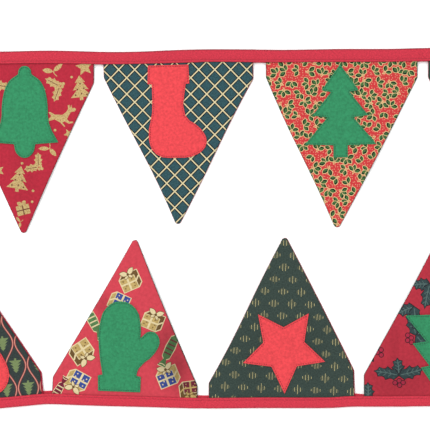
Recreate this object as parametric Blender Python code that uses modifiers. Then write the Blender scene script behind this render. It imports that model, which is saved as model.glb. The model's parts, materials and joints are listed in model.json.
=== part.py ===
"""Fabric bunting: one string of double-sided cloth flags, laid flat so that it doubles back on itself.

A bias binding, folded in half along its length, grips the top edge of every flag. The upper row runs
to the left with its flags pointing down, the binding turns round, and the lower row runs back with
its flags pointing up. Every flag is a front and a back panel, with a felt shape on the front.

+X runs along the rows, +Y from the lower row to the upper one, and +Z up from the surface on which
the string lies. Blender's units are metres; the tables are in millimetres.
"""

import math
from collections import namedtuple

import bmesh
import bpy

MM = 0.001

# Driving sizes
PLY = 1.0 * MM              # one panel, or one leg of the folded binding
FELT = 1.2 * MM             # the felt shapes
LAYER_GAP = 0.3 * MM        # between two layers that lie on each other
FOLD_TO_HEADING = 2.8 * MM  # from the binding's folded edge to the flag's edge inside it
TURN_DEPTH = 130 * MM       # how far the binding's turn reaches beyond the rows
ROW_START_X = -338.7 * MM   # where both rows meet the turn
ROW_END_X = 475 * MM        # where both rows end in a plain tail
SLOT_MARGIN = 1.2 * MM      # the binding stays open this far beside a flag
TAIL_EASE = 12 * MM         # and closes over this length at the end of a row
DRAPE_START = 1.5 * MM      # a flag leaves the height of the binding's lower leg here
DRAPE_LENGTH = 16 * MM      # and has come down to the surface after this length

# Sizes that follow from them
FLAG_STACK = 2 * PLY + LAYER_GAP
OPEN_SLOT = FLAG_STACK + 2 * LAYER_GAP
HALF_OPEN_SLOT = 0.55 * OPEN_SLOT
CLOSED_SLOT = LAYER_GAP

# Fineness of the solids
FLAG_COLUMNS = 8
SIDE_STEPS = 8
TIP_ANGLES = (48, 70)
SHOULDER_ANGLE = 26
FOLD_ANGLES = (-90, -45, 0, 45, 90)
GRID_BEND = 2 * MM          # a panel's grid lines bend this far, so no three points are in line
TURN_STEPS = 30
BINDING_STEP = 27 * MM

# The middle of the binding, as it lies: place along the row, across it, and the folded width there
BindingPoint = namedtuple("BindingPoint", "x y width")
UPPER_LINE = [BindingPoint(*row) for row in (
    (-338.7, 189.6, 14.5), (-213.4, 189.5, 14.3), (-158.9, 190.2, 14.9), (-93.5, 189.1, 14.3),
    (-60.8, 189.5, 14.3), (-17.2, 190.9, 15.1), (15.6, 191.8, 14.7), (64.6, 191.5, 14.9),
    (95.0, 191.3, 14.4), (157.3, 191.9, 15.1), (211.8, 192.1, 14.9), (255.4, 193.0, 15.2),
    (331.7, 192.7, 14.9), (418.9, 192.3, 14.5), (475.0, 191.8, 14.5),
)]
LOWER_LINE = [BindingPoint(*row) for row in (
    (-338.7, -193.8, 14.4), (-278.8, -191.2, 13.8), (-213.4, -185.8, 13.7), (-186.1, -183.2, 13.9),
    (-162.1, -180.6, 15.0), (-131.6, -181.4, 15.1), (-104.4, -182.4, 15.0), (-60.8, -183.8, 14.4),
    (4.7, -185.4, 14.6), (70.0, -185.4, 13.8), (146.4, -185.1, 14.2), (168.2, -183.3, 15.2),
    (184.5, -183.8, 14.0), (222.7, -183.8, 13.9), (255.4, -183.5, 13.7), (342.6, -184.3, 13.9),
    (440.7, -184.8, 14.1), (475.0, -184.6, 14.1),
)]

# Each flag: its row (1 upper, -1 lower), the places of its two sides at the binding, the length of
# its short upright sides, how far the tip leans across from the middle of the top edge, the tip's
# radius and its distance from the binding, how far the long sides bow outwards, how far they sway
# (out near the binding, in near the tip), and how far the back panel peeps out past the front one.
# Left is towards -X in both rows.
Flag = namedtuple(
    "Flag",
    "name row left right corner_left corner_right tip_lean tip_radius drop bow_left bow_right "
    "sway_left sway_right peep_left peep_right cloth backing",
)
FLAGS = [Flag(*row) for row in (
    ("gold_print", 1, -267.4, -110.8, 15.0, 19.7, 1.7, 3.6, 183.6, 0.0, -1.2,
     0.0, 0.0, 0.4, 0.3, "crimson", "green"),
    ("lattice", 1, -100.4, 63.0, 13.7, 17.0, -2.6, 3.6, 174.5, -1.6, -0.5,
     0.9, -0.7, 0.3, 0.6, "teal", "crimson"),
    ("sprig", 1, 76.8, 242.3, 15.3, 16.8, -6.1, 3.9, 179.8, 0.5, 0.8,
     0.9, 0.0, 0.4, 0.5, "scarlet", "green"),
    ("pin_dot", 1, 253.9, 415.3, 16.4, 16.0, -0.8, 3.8, 178.0, 0.0, 0.0,
     0.0, 0.0, 0.4, 0.4, "pine", "crimson"),
    ("ogee", -1, -325.6, -165.9, 18.0, 19.5, -9.0, 3.8, 170.0, 0.0, 0.6,
     0.0, 0.0, 0.4, 1.8, "pine", "crimson"),
    ("parcel", -1, -156.3, 2.1, 14.5, 9.8, 6.0, 3.0, 167.1, -0.6, -1.0,
     0.0, 0.0, 0.3, 0.7, "scarlet", "green"),
    ("lozenge", -1, 14.5, 173.8, 12.8, 24.5, 6.0, 3.3, 170.6, -0.8, 0.6,
     -1.0, 0.0, 0.3, 0.9, "pine", "crimson"),
    ("holly", -1, 183.8, 342.6, 20.7, 18.0, 1.5, 3.8, 167.0, -0.8, 0.0,
     0.0, 0.0, 0.4, 0.4, "crimson", "green"),
)]

# Soft folds that stand up from the surface: their place across the flag from the middle of its top
# edge, how far they lean by the tip, their height and half width, and where along the drop (0 to 1)
# they begin and end.
Fold = namedtuple("Fold", "flag across lean height half_width begins ends")
FOLDS = [Fold(*row) for row in (
    ("gold_print", 30, -22, 1.8, 34, 0.05, 0.95),
    ("lattice", 2, 0, 1.9, 30, 0.02, 0.70),
    ("lattice", -46, 30, 1.2, 26, 0.10, 0.90),
    ("sprig", 44, -30, 2.0, 32, 0.05, 0.90),
    ("pin_dot", -20, 14, 1.8, 34, 0.05, 0.90),
    ("ogee", 36, -34, 2.2, 30, 0.05, 0.90),
    ("parcel", 27, -14, 3.0, 40, 0.03, 0.92),
    ("lozenge", -38, 28, 1.7, 32, 0.06, 0.88),
    ("holly", -48, 40, 2.4, 26, 0.04, 0.92),
    ("holly", 24, -16, 1.8, 30, 0.06, 0.80),
)]

# The felt shapes: which outline, which felt, the place of its middle across the flag from the middle
# of the top edge, how far below the binding it starts, its greatest width, and its height
Felt = namedtuple("Felt", "flag outline colour across below_binding width height")
FELT_SHAPES = [Felt(*row) for row in (
    ("gold_print", "bell", "green_felt", 3, 1.8, 74, 100),
    ("lattice", "stocking", "red_felt", -2, 1.4, 64, 102),
    ("sprig", "tree", "green_felt", -2, 1.6, 78, 102),
    ("pin_dot", "star", "red_felt", 0, 3.0, 88, 84),
    ("ogee", "heart", "red_felt", 2, 2.4, 82, 78),
    ("parcel", "mitten", "green_felt", 3, 1.6, 66, 98),
    ("lozenge", "star", "red_felt", 3, 1.8, 90, 86),
    ("holly", "tree", "green_felt", 1, 1.6, 72, 98),
)]

COLOURS = {
    "binding": (0.62, 0.045, 0.085),
    "crimson": (0.52, 0.03, 0.06),
    "scarlet": (0.62, 0.05, 0.06),
    "teal": (0.03, 0.10, 0.11),
    "pine": (0.03, 0.07, 0.055),
    "green": (0.03, 0.06, 0.04),
    "green_felt": (0.03, 0.31, 0.13),
    "red_felt": (0.90, 0.07, 0.08),
}
CLOTH_ROUGHNESS = 0.85


# Helpers

def smooth_step(value):
    """0 below 0, 1 above 1, and a smooth rise between them."""
    t = min(1.0, max(0.0, value))
    return t * t * (3 - 2 * t)


def clear_scene():
    for old in list(bpy.data.objects):
        bpy.data.objects.remove(old, do_unlink=True)


def new_collection(name):
    collection = bpy.data.collections.new(name)
    bpy.context.scene.collection.children.link(collection)
    return collection


def cloth_material(name):
    """One Principled BSDF for each colour of cloth or felt."""
    found = bpy.data.materials.get(name)
    if found:
        return found
    material = bpy.data.materials.new(name)
    material.use_nodes = True
    shader = material.node_tree.nodes["Principled BSDF"]
    shader.inputs["Base Color"].default_value = (*COLOURS[name], 1)
    shader.inputs["Roughness"].default_value = CLOTH_ROUGHNESS
    shader.inputs["Metallic"].default_value = 0
    return material


def object_from(bm, name, collection, cloth):
    mesh = bpy.data.meshes.new(name)
    bm.to_mesh(mesh)
    bm.free()
    mesh.materials.append(cloth_material(cloth))
    made = bpy.data.objects.new(name, mesh)
    collection.objects.link(made)
    return made


def thicken(sheet, thickness):
    """Gives an open sheet its thickness, half to each side."""
    solid = sheet.modifiers.new("thickness", "SOLIDIFY")
    solid.thickness = thickness
    solid.offset = 0
    solid.use_even_offset = False


def shaped_grid(columns, rows, place):
    """A grid of faces whose point (column, row) lies at place(column, row), split into triangles."""
    bm = bmesh.new()
    bmesh.ops.create_grid(bm, x_segments=columns, y_segments=rows, size=1)
    for vertex in bm.verts:
        column = round((vertex.co.x + 1) / 2 * columns)
        row = round((vertex.co.y + 1) / 2 * rows)
        vertex.co = place(column, row)
    bmesh.ops.triangulate(bm, faces=bm.faces[:], quad_method="FIXED")
    bm.normal_update()
    return bm


# The binding's route

def line_at(line, x):
    """(y, width) of a row's binding at x, on a smooth curve through the table's points, in metres."""
    x = min(max(x / MM, line[0].x), line[-1].x)
    i = max(k for k in range(len(line) - 1) if line[k].x <= x)
    a, b = line[i], line[i + 1]
    before, after = line[max(i - 1, 0)], line[min(i + 2, len(line) - 1)]
    t = (x - a.x) / (b.x - a.x)
    found = []
    for field in ("y", "width"):
        ya, yb = getattr(a, field), getattr(b, field)
        slope_a = (yb - getattr(before, field)) / (b.x - before.x) * (b.x - a.x)
        slope_b = (getattr(after, field) - ya) / (after.x - a.x) * (b.x - a.x)
        found.append(
            (2 * t**3 - 3 * t**2 + 1) * ya + (t**3 - 2 * t**2 + t) * slope_a
            + (3 * t**2 - 2 * t**3) * yb + (t**3 - t**2) * slope_b
        )
    return found[0] * MM, found[1] * MM


def row_line(row):
    return UPPER_LINE if row > 0 else LOWER_LINE


def inner_edge(row, x):
    """The y of the binding's open edge, on the flags' side, at x."""
    y, width = line_at(row_line(row), x)
    return y - row * width / 2


def slot_at(row, x):
    """How far the binding's two legs stand apart at x: open over a flag, less so beside it."""
    flags = [f for f in FLAGS if f.row == row]
    edges = [(f.left * MM - SLOT_MARGIN, f.right * MM + SLOT_MARGIN) for f in flags]
    if any(left - 1e-9 <= x <= right + 1e-9 for left, right in edges):
        return OPEN_SLOT
    first, last = edges[0][0], edges[-1][1]
    if x < first or x > last:
        away = first - x if x < first else x - last
        return OPEN_SLOT + (CLOSED_SLOT - OPEN_SLOT) * smooth_step(away / TAIL_EASE)
    return HALF_OPEN_SLOT


def row_stations(row):
    """The places along a row where the binding gets a section, from left to right."""
    flags = [f for f in FLAGS if f.row == row]
    stations = [ROW_START_X, flags[0].left * MM - SLOT_MARGIN - TAIL_EASE]
    for i, flag in enumerate(flags):
        left, right = flag.left * MM - SLOT_MARGIN, flag.right * MM + SLOT_MARGIN
        steps = math.ceil((right - left) / BINDING_STEP)
        stations += [left + (right - left) * k / steps for k in range(steps + 1)]
        if i + 1 < len(flags):
            stations.append((flag.right + flags[i + 1].left) / 2 * MM)
    last = flags[-1].right * MM + SLOT_MARGIN
    stations += [last + TAIL_EASE / 2, last + TAIL_EASE, (last + TAIL_EASE + ROW_END_X) / 2, ROW_END_X]
    return sorted(x for x in set(stations) if ROW_START_X <= x <= ROW_END_X)


def binding_sections():
    """Every section in order: (middle x, y, direction to the flags' side, width, slot)."""
    sections = []
    for x in reversed(row_stations(1)):
        y, width = line_at(UPPER_LINE, x)
        sections.append((x, y, (0.0, -1.0), width, slot_at(1, x)))
    (top, top_width), (bottom, bottom_width) = (line_at(l, ROW_START_X) for l in (UPPER_LINE, LOWER_LINE))
    middle, half_span = (top + bottom) / 2, (top - bottom) / 2
    for step in range(1, TURN_STEPS):
        angle = math.pi * step / TURN_STEPS
        x = ROW_START_X - TURN_DEPTH * math.sin(angle)
        y = middle + half_span * math.cos(angle)
        inward = (math.sin(angle) / TURN_DEPTH, -math.cos(angle) / half_span)
        length = math.hypot(*inward)
        share = step / TURN_STEPS
        width = top_width + (bottom_width - top_width) * share
        sections.append((x, y, (inward[0] / length, inward[1] / length), width, CLOSED_SLOT))
    for x in row_stations(-1):
        y, width = line_at(LOWER_LINE, x)
        sections.append((x, y, (0.0, 1.0), width, slot_at(-1, x)))
    return sections


def section_points(width, slot):
    """The folded strip's middle line: (distance from the folded edge, height), lower leg first."""
    radius = (slot + PLY) / 2
    middle = PLY / 2 + radius
    fold = [
        (middle - radius * math.cos(math.radians(a)), middle + radius * math.sin(math.radians(a)))
        for a in FOLD_ANGLES
    ]
    return [(width, PLY / 2), *fold, (width, PLY / 2 + 2 * radius)]


def make_binding(collection):
    """One strip, folded in half along its length, with the flags' slot between its legs."""
    sections = binding_sections()
    outlines = [section_points(width, slot) for *_, width, slot in sections]

    def place(column, row):
        x, y, (inward_x, inward_y), width, _ = sections[row]
        across, height = outlines[row][column]
        offset = across - width / 2
        return x + inward_x * offset, y + inward_y * offset, height

    bm = shaped_grid(len(outlines[0]) - 1, len(sections) - 1, place)
    binding = object_from(bm, "binding", collection, "binding")
    thicken(binding, PLY)


# The flags

def flag_frame(flag):
    """The middle of the flag's top edge beside the binding, and the directions along and down it."""
    left, right = flag.left * MM, flag.right * MM
    left_y, right_y = inner_edge(flag.row, left), inner_edge(flag.row, right)
    slope = math.atan2(right_y - left_y, right - left)
    along = (math.cos(slope), math.sin(slope))
    down = (flag.row * along[1], -flag.row * along[0])
    return ((left + right) / 2, (left_y + right_y) / 2), along, down


def flag_point(flag, across, down):
    """The (x, y) of a place on a flag, whose heading follows the binding's edge."""
    (middle_x, middle_y), along, downwards = flag_frame(flag)
    x = middle_x + across * along[0] + down * downwards[0]
    y = middle_y + across * along[1] + down * downwards[1]
    edge_x = middle_x + across * along[0]
    unevenness = inner_edge(flag.row, edge_x) - middle_y - across * along[1]
    return x, y + unevenness * (1 - smooth_step(down / (2 * DRAPE_LENGTH)))


def side_points(flag, side, inset):
    """One side of a flag from its edge inside the binding to its tip: (across, down)."""
    out = -1 if side == "left" else 1
    edge = out * ((flag.right - flag.left) / 2 * MM - inset)
    corner, bow, sway = (getattr(flag, f"{name}_{side}") * MM for name in ("corner", "bow", "sway"))
    radius = flag.tip_radius * MM - inset / 2
    tip_across, tip_down = flag.tip_lean * MM, flag.drop * MM - inset / 2 - radius

    def tip_point(angle):
        a = math.radians(angle)
        return tip_across + out * radius * math.cos(a), tip_down + radius * math.sin(a)

    _, width = line_at(row_line(flag.row), getattr(flag, side) * MM)
    points = [(edge, FOLD_TO_HEADING - width), (edge, 1 * MM), (edge, 0.55 * corner)]
    shoulder = tip_point(SHOULDER_ANGLE)
    for step in range(SIDE_STEPS + 1):
        t = step / SIDE_STEPS
        bulge = bow * math.sin(math.pi * t) + sway * math.sin(2 * math.pi * t)
        across = edge + (shoulder[0] - edge) * t + out * bulge
        points.append((across, corner + (shoulder[1] - corner) * t))
    return points + [tip_point(a) for a in TIP_ANGLES]


def lift(flag, across, down):
    """Height of the flag's underside: over the binding's lower leg, down to the surface, and its folds."""
    height = (PLY + LAYER_GAP) * (1 - smooth_step((down - DRAPE_START) / DRAPE_LENGTH))
    share = down / (flag.drop * MM)
    for fold in FOLDS:
        if fold.flag != flag.name:
            continue
        away = abs(across - (fold.across + fold.lean * share) * MM) / (fold.half_width * MM)
        if away < 1 and fold.begins < share < fold.ends:
            length = fold.ends - fold.begins
            swell = math.sin(math.pi * (share - fold.begins) / length) ** 0.7
            height += fold.height * MM * 0.5 * (1 + math.cos(math.pi * away)) * swell
    return height


def flag_sheet(flag, base, insets):
    """The open surface of one layer of a flag, base above its underside."""
    left, right = (side_points(flag, side, inset) for side, inset in zip(("left", "right"), insets))

    rows = len(left) - 1

    def place(column, row):
        share = column / FLAG_COLUMNS
        if flag.row > 0:
            share = 1 - share
        bend = GRID_BEND * 4 * share * (1 - share)
        across = left[row][0] + (right[row][0] - left[row][0]) * share
        across += bend * math.sin(2 * math.pi * row / rows) / 2
        down = left[row][1] + (right[row][1] - left[row][1]) * share
        down += bend * math.sin(math.pi * row / rows)
        return *flag_point(flag, across, down), base + lift(flag, across, down)

    return shaped_grid(FLAG_COLUMNS, rows, place)


def make_panel(flag, layer, collection):
    """The front or the back panel of a flag."""
    if layer == "front":
        insets, base, cloth = (flag.peep_left * MM, flag.peep_right * MM), PLY + LAYER_GAP, flag.cloth
    else:
        insets, base, cloth = (0.0, 0.0), 0.0, flag.backing
    bm = flag_sheet(flag, base + PLY / 2, insets)
    thicken(object_from(bm, f"{flag.name}_{layer}", collection, cloth), PLY)


# The felt outlines: (across, down from 0 to 1, kind). The curve passes smoothly through a "round"
# point and turns sharply at a "corner". Each outline is drawn out to its shape's width and height.

def both_halves(half):
    """A whole outline from its right half, which is listed from top to bottom."""
    mirrored = [(-across, down, kind) for across, down, kind in reversed(half) if across > 0]
    return half + mirrored


def bell_outline():
    return both_halves([
        (0.00, 0.00, "round"), (0.08, 0.03, "round"), (0.10, 0.09, "corner"), (0.24, 0.17, "round"),
        (0.33, 0.36, "round"), (0.36, 0.62, "round"), (0.50, 0.83, "corner"), (0.16, 0.85, "corner"),
        (0.12, 0.95, "round"), (0.00, 1.00, "round"),
    ])


def tree_outline():
    return both_halves([
        (0.00, 0.00, "corner"), (0.26, 0.28, "corner"), (0.13, 0.30, "corner"),
        (0.39, 0.55, "corner"), (0.18, 0.57, "corner"), (0.50, 0.86, "corner"),
        (0.10, 0.87, "corner"), (0.10, 1.00, "corner"), (0.00, 1.00, "corner"),
    ])


def star_outline(points=5, waist=0.50):
    """A star; waist is how far its inner corners reach, as a share of its points' reach."""
    half_turn = math.pi / points
    height = 1 + math.cos(half_turn)
    outline = []
    for k in range(2 * points):
        reach = 1 if k % 2 == 0 else waist
        across, up = reach * math.sin(k * half_turn), reach * math.cos(k * half_turn)
        outline.append((across, (1 - up) / height, "corner"))
    return outline


def heart_outline():
    return both_halves([
        (0.00, 0.16, "corner"), (0.13, 0.02, "round"), (0.33, 0.00, "round"), (0.48, 0.15, "round"),
        (0.47, 0.40, "round"), (0.28, 0.72, "round"), (0.00, 1.00, "corner"),
    ])


def stocking_outline():
    return [
        (-0.30, 0.00, "corner"), (0.26, 0.00, "corner"), (0.27, 0.20, "corner"),
        (0.22, 0.20, "corner"), (0.21, 0.54, "round"), (0.42, 0.68, "round"), (0.50, 0.83, "round"),
        (0.38, 0.95, "round"), (0.08, 0.99, "round"), (-0.20, 0.95, "round"), (-0.30, 0.78, "round"),
        (-0.25, 0.50, "round"), (-0.25, 0.20, "corner"), (-0.31, 0.20, "corner"),
    ]


def mitten_outline():
    return [
        (-0.26, 0.00, "corner"), (0.30, 0.00, "corner"), (0.31, 0.17, "corner"),
        (0.25, 0.18, "corner"), (0.30, 0.42, "round"), (0.31, 0.72, "round"), (0.22, 0.93, "round"),
        (0.03, 1.00, "round"), (-0.17, 0.92, "round"), (-0.24, 0.72, "round"), (-0.24, 0.60, "corner"),
        (-0.37, 0.68, "round"), (-0.49, 0.60, "round"), (-0.44, 0.44, "round"), (-0.23, 0.26, "round"),
        (-0.20, 0.18, "corner"), (-0.26, 0.17, "corner"),
    ]


OUTLINES = {
    "bell": bell_outline,
    "tree": tree_outline,
    "star": star_outline,
    "heart": heart_outline,
    "stocking": stocking_outline,
    "mitten": mitten_outline,
}


def outline_curve(felt, flag):
    """The felt's outline as a filled 2D curve, in its place above the flag."""
    curve = bpy.data.curves.new(f"{flag.name}_outline", "CURVE")
    curve.dimensions = "2D"
    curve.fill_mode = "BOTH"
    curve.extrude = 20 * MM
    curve.resolution_u = 3
    points = OUTLINES[felt.outline]()
    spline = curve.splines.new("BEZIER")
    spline.bezier_points.add(len(points) - 1)
    spline.use_cyclic_u = True
    low, high = min(p[0] for p in points), max(p[0] for p in points)
    for point, (across, down, kind) in zip(spline.bezier_points, points):
        share = (across - low) / (high - low) - 0.5
        across_flag = (felt.across + flag.row * share * felt.width) * MM
        down_flag = (felt.below_binding + down * felt.height) * MM
        point.co = (*flag_point(flag, across_flag, down_flag), 0)
        handle = "AUTO" if kind == "round" else "VECTOR"
        point.handle_left_type = point.handle_right_type = handle
    return curve


def make_felt(felt, flag, parts, cutters):
    """A felt shape that lies on the front panel: the panel's own surface, raised, cut to the outline."""
    curve = outline_curve(felt, flag)
    drawn = bpy.data.objects.new(curve.name, curve)
    cutters.objects.link(drawn)
    bpy.context.view_layer.update()
    graph = bpy.context.evaluated_depsgraph_get()
    mesh = bpy.data.meshes.new_from_object(drawn.evaluated_get(graph))
    bm = bmesh.new()
    bm.from_mesh(mesh)
    bmesh.ops.remove_doubles(bm, verts=bm.verts[:], dist=0.01 * MM)
    bmesh.ops.recalc_face_normals(bm, faces=bm.faces[:])
    bm.to_mesh(mesh)
    bm.free()
    cutter = bpy.data.objects.new(f"{flag.name}_cutter", mesh)
    cutter.matrix_world = drawn.matrix_world
    cutter.hide_render = True
    cutter.display_type = "WIRE"
    cutters.objects.link(cutter)
    bpy.data.objects.remove(drawn)

    sheet = flag_sheet(flag, FLAG_STACK + LAYER_GAP + FELT / 2, (0.0, 0.0))
    shape = object_from(sheet, f"{flag.name}_felt", parts, felt.colour)
    thicken(shape, FELT)
    cut = shape.modifiers.new("outline", "BOOLEAN")
    cut.operation = "INTERSECT"
    cut.solver = "EXACT"
    cut.object = cutter


def main():
    clear_scene()
    parts = new_collection("fabric_bunting")
    cutters = new_collection("cutters")
    make_binding(parts)
    for flag in FLAGS:
        make_panel(flag, "back", parts)
        make_panel(flag, "front", parts)
    by_name = {flag.name: flag for flag in FLAGS}
    for felt in FELT_SHAPES:
        make_felt(felt, by_name[felt.flag], parts, cutters)


main()
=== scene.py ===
# %% [markdown]
# # A string of fabric bunting, laid flat
#
# Eight cloth flags hang from one folded strip of binding. The string lies on a white table in a long
# U, so the upper row points down and the lower row is turned round. This lesson dresses the plain
# solids of the frame with real cloth: printed cotton, felt, thread and a bias-cut binding.
#
# The first cell loads the frame. Its box is kept, because the dressed string may not outgrow it.

# %% The frame
import json
import math
import random
from collections import Counter, namedtuple

import bmesh
import bpy
import numpy as np
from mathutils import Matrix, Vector, noise
from mathutils.bvhtree import BVHTree
from mathutils.geometry import delaunay_2d_cdt

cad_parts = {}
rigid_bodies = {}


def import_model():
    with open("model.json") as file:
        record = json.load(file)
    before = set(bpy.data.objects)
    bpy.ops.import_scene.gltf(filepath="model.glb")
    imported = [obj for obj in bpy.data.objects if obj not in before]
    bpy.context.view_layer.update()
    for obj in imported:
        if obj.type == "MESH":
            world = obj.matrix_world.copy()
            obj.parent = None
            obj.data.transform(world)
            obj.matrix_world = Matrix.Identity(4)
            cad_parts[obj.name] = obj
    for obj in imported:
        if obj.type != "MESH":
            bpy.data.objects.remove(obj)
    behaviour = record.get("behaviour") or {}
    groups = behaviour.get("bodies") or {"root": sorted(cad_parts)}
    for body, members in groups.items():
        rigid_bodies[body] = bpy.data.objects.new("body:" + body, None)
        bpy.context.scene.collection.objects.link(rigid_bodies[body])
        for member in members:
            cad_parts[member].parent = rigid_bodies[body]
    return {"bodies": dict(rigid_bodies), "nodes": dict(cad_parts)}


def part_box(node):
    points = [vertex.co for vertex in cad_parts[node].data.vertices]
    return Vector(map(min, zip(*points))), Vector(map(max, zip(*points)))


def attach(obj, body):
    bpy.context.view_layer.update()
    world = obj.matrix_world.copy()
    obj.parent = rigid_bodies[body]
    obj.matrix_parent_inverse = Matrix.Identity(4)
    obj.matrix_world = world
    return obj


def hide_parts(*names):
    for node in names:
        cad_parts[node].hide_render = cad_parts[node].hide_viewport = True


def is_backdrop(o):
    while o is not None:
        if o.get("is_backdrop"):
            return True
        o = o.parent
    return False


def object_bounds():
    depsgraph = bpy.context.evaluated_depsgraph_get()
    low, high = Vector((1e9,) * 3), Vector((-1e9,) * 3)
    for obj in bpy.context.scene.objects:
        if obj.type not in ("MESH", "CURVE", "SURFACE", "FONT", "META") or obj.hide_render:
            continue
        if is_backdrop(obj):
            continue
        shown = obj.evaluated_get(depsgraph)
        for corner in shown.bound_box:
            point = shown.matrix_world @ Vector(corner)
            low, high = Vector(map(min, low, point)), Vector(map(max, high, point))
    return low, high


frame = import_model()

cad_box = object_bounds()
MM = 0.001
BODY = next(iter(frame["bodies"]))
print("the frame holds", len(frame["nodes"]), "nodes on the body", BODY)

# %% [markdown]
# ## The camera
#
# The photograph looks straight down at the table. One of its pixels is 1.09 mm wide, which comes
# from the binding: a 30 mm bias strip folds to about 14 mm. An orthographic camera would do, but a
# long lens far above is nearer to a real one. The pixel is measured on the cloth, which lies a
# little above the table, so the camera is raised by as much and aims a hair off the middle.

# %% The camera
PIXEL = 1.09 * MM
PHOTO_PIXELS = 430
PHOTO_CENTRE = (21.0 * MM, 18.5 * MM)
LENS, SENSOR = 85, 36
CLOTH_TOP = 3.4 * MM
AIM = (0.3 * MM, -0.17 * MM)


def linked(name, data):
    """A new object in the scene."""
    made = bpy.data.objects.new(name, data)
    bpy.context.scene.collection.objects.link(made)
    return made


eye = bpy.data.cameras.new("eye")
eye.lens, eye.sensor_width = LENS, SENSOR
camera = linked("camera", eye)
camera.location = (PHOTO_CENTRE[0] + AIM[0], PHOTO_CENTRE[1] + AIM[1],
                   PHOTO_PIXELS * PIXEL * LENS / SENSOR + CLOTH_TOP)
bpy.context.scene.camera = camera
print("the camera is", round(camera.location.z, 3), "m above the table")

# %% [markdown]
# ## The light
#
# The photograph was taken in a soft, even light on pure white. A bright world gives light from all
# round, and one large lamp at the upper left gives the folds a side to be lit from. Together they are
# stronger than 1, so that the white table burns out to pure white, as it does in the photograph.
# The view is set to Standard, which shows a colour as it was mixed.

# %% The light
SKY_STRENGTH = 1.17
LAMP_PLACE, LAMP_SIZE, LAMP_WATTS = (-1.4, 1.3, 2.2), 1.6, 38

bpy.context.scene.view_settings.view_transform = "Standard"
sky = bpy.data.worlds.new("studio")
sky.use_nodes = True
daylight = sky.node_tree.nodes["Background"].inputs
daylight["Color"].default_value = (1, 1, 1, 1)
daylight["Strength"].default_value = SKY_STRENGTH
bpy.context.scene.world = sky

window = bpy.data.lights.new("window_light", "AREA")
window.shape, window.size, window.energy = "SQUARE", LAMP_SIZE, LAMP_WATTS
lamp = linked("window_light", window)
lamp.location = LAMP_PLACE
lamp.rotation_euler = (Vector((*PHOTO_CENTRE, 0)) - lamp.location).to_track_quat("-Z", "Y").to_euler()
print("the lamp is", round(lamp.location.length, 2), "m away")

# %% [markdown]
# ## Colours and a short way to wire nodes
#
# A colour read from a screen runs from 0 to 255 and isn't linear, so `screen_colour` turns it into
# what a shader works with, and divides it by the strength of the light. Nodes could be wired by hand
# in the editor, but a few short helpers keep every material readable here: `wire` adds a node and
# gives its sockets a value or a link, `mixed` and `ramp` are the two that are needed most, and
# `coat` joins a colour and a relief to the shader.

# %% Colours and nodes
EXPOSURE = 1.49


def screen_colour(red, green, blue):
    """The cloth colour that shows as this screen colour in the light of this scene."""
    shares = [c / 255 for c in (red, green, blue)]
    linear = [s / 12.92 if s <= 0.04045 else ((s + 0.055) / 1.055) ** 2.4 for s in shares]
    return (*[min(0.95, v / EXPOSURE) for v in linear], 1)


def tinted(colour, factor):
    """A lighter or darker tint of a colour."""
    return (*[min(1.0, c * factor) for c in colour[:3]], 1)


def wire(tree, kind, inputs=(), **settings):
    """One new node: settings are its own choices, inputs its sockets by name or number."""
    made = tree.nodes.new(kind)
    for key, value in settings.items():
        setattr(made, key, value)
    for key, value in dict(inputs).items():
        if isinstance(value, bpy.types.NodeSocket):
            tree.links.new(value, made.inputs[key])
        else:
            made.inputs[key].default_value = value
    return made


def mixed(tree, share, first, second):
    """Two colours, mixed by a share of the second."""
    return wire(tree, "ShaderNodeMix", {0: share, 6: first, 7: second}, data_type="RGBA").outputs[2]


def ramp(tree, value, low, high):
    """A share that goes from 0 where the value is low to 1 where it is high."""
    return wire(tree, "ShaderNodeMapRange", {
        "Value": value, "From Min": low, "From Max": high}).outputs["Result"]


def blank(name):
    """A new material and its node tree."""
    material = bpy.data.materials.new(name)
    material.use_nodes = True
    return material, material.node_tree


def coat(tree, colour, relief, strength, depth, roughness, specular=0.5, sheen=(0.0, 0.5)):
    """Joins a colour and a relief to the shader; sheen is its weight and its roughness."""
    shader = tree.nodes["Principled BSDF"]
    bump = wire(tree, "ShaderNodeBump", {"Height": relief, "Strength": strength, "Distance": depth})
    tree.links.new(colour, shader.inputs["Base Color"])
    tree.links.new(bump.outputs["Normal"], shader.inputs["Normal"])
    for key, value in (("Roughness", roughness), ("Specular IOR Level", specular),
                       ("Sheen Weight", sheen[0]), ("Sheen Roughness", sheen[1])):
        shader.inputs[key].default_value = value


print("white cloth is", [round(c, 2) for c in screen_colour(255, 255, 255)])

# %% [markdown]
# ## Printed cotton
#
# Quilting cotton is a plain weave of about two threads in a millimetre. An image of woven cloth would
# do, but it blurs and repeats, so here two crossing waves make the weave as a bump. The colour gets
# a fine speckle from the threads, and the surface is dull with a little sheen. The pattern follows
# the cloth's own map, which runs along and across the cut piece in metres, so a flag that is turned
# round has its weave turned too. Where the mesh carries a share of painted shade, the cloth is painted
# darker by that share: painted shade of seams, folds and edges, which stays with the cloth from every
# side.

# %% Cotton
THREAD = 0.55 * MM
WAVE_REACH = 2 * math.pi / 20     # the wave texture's own measure of one wave


def speckle(tree, place, colour, depth, size):
    """The colour broken up by specks of about that size: (colour, the noise)."""
    cloud = wire(tree, "ShaderNodeTexNoise", {
        "Vector": place, "Scale": 0.5 / size, "Detail": 3.0, "Roughness": 0.6})
    spread = ramp(tree, cloud.outputs["Fac"], 0.32, 0.68)
    return mixed(tree, spread, tinted(colour, 1 - depth), tinted(colour, 1 + depth)), spread


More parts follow.
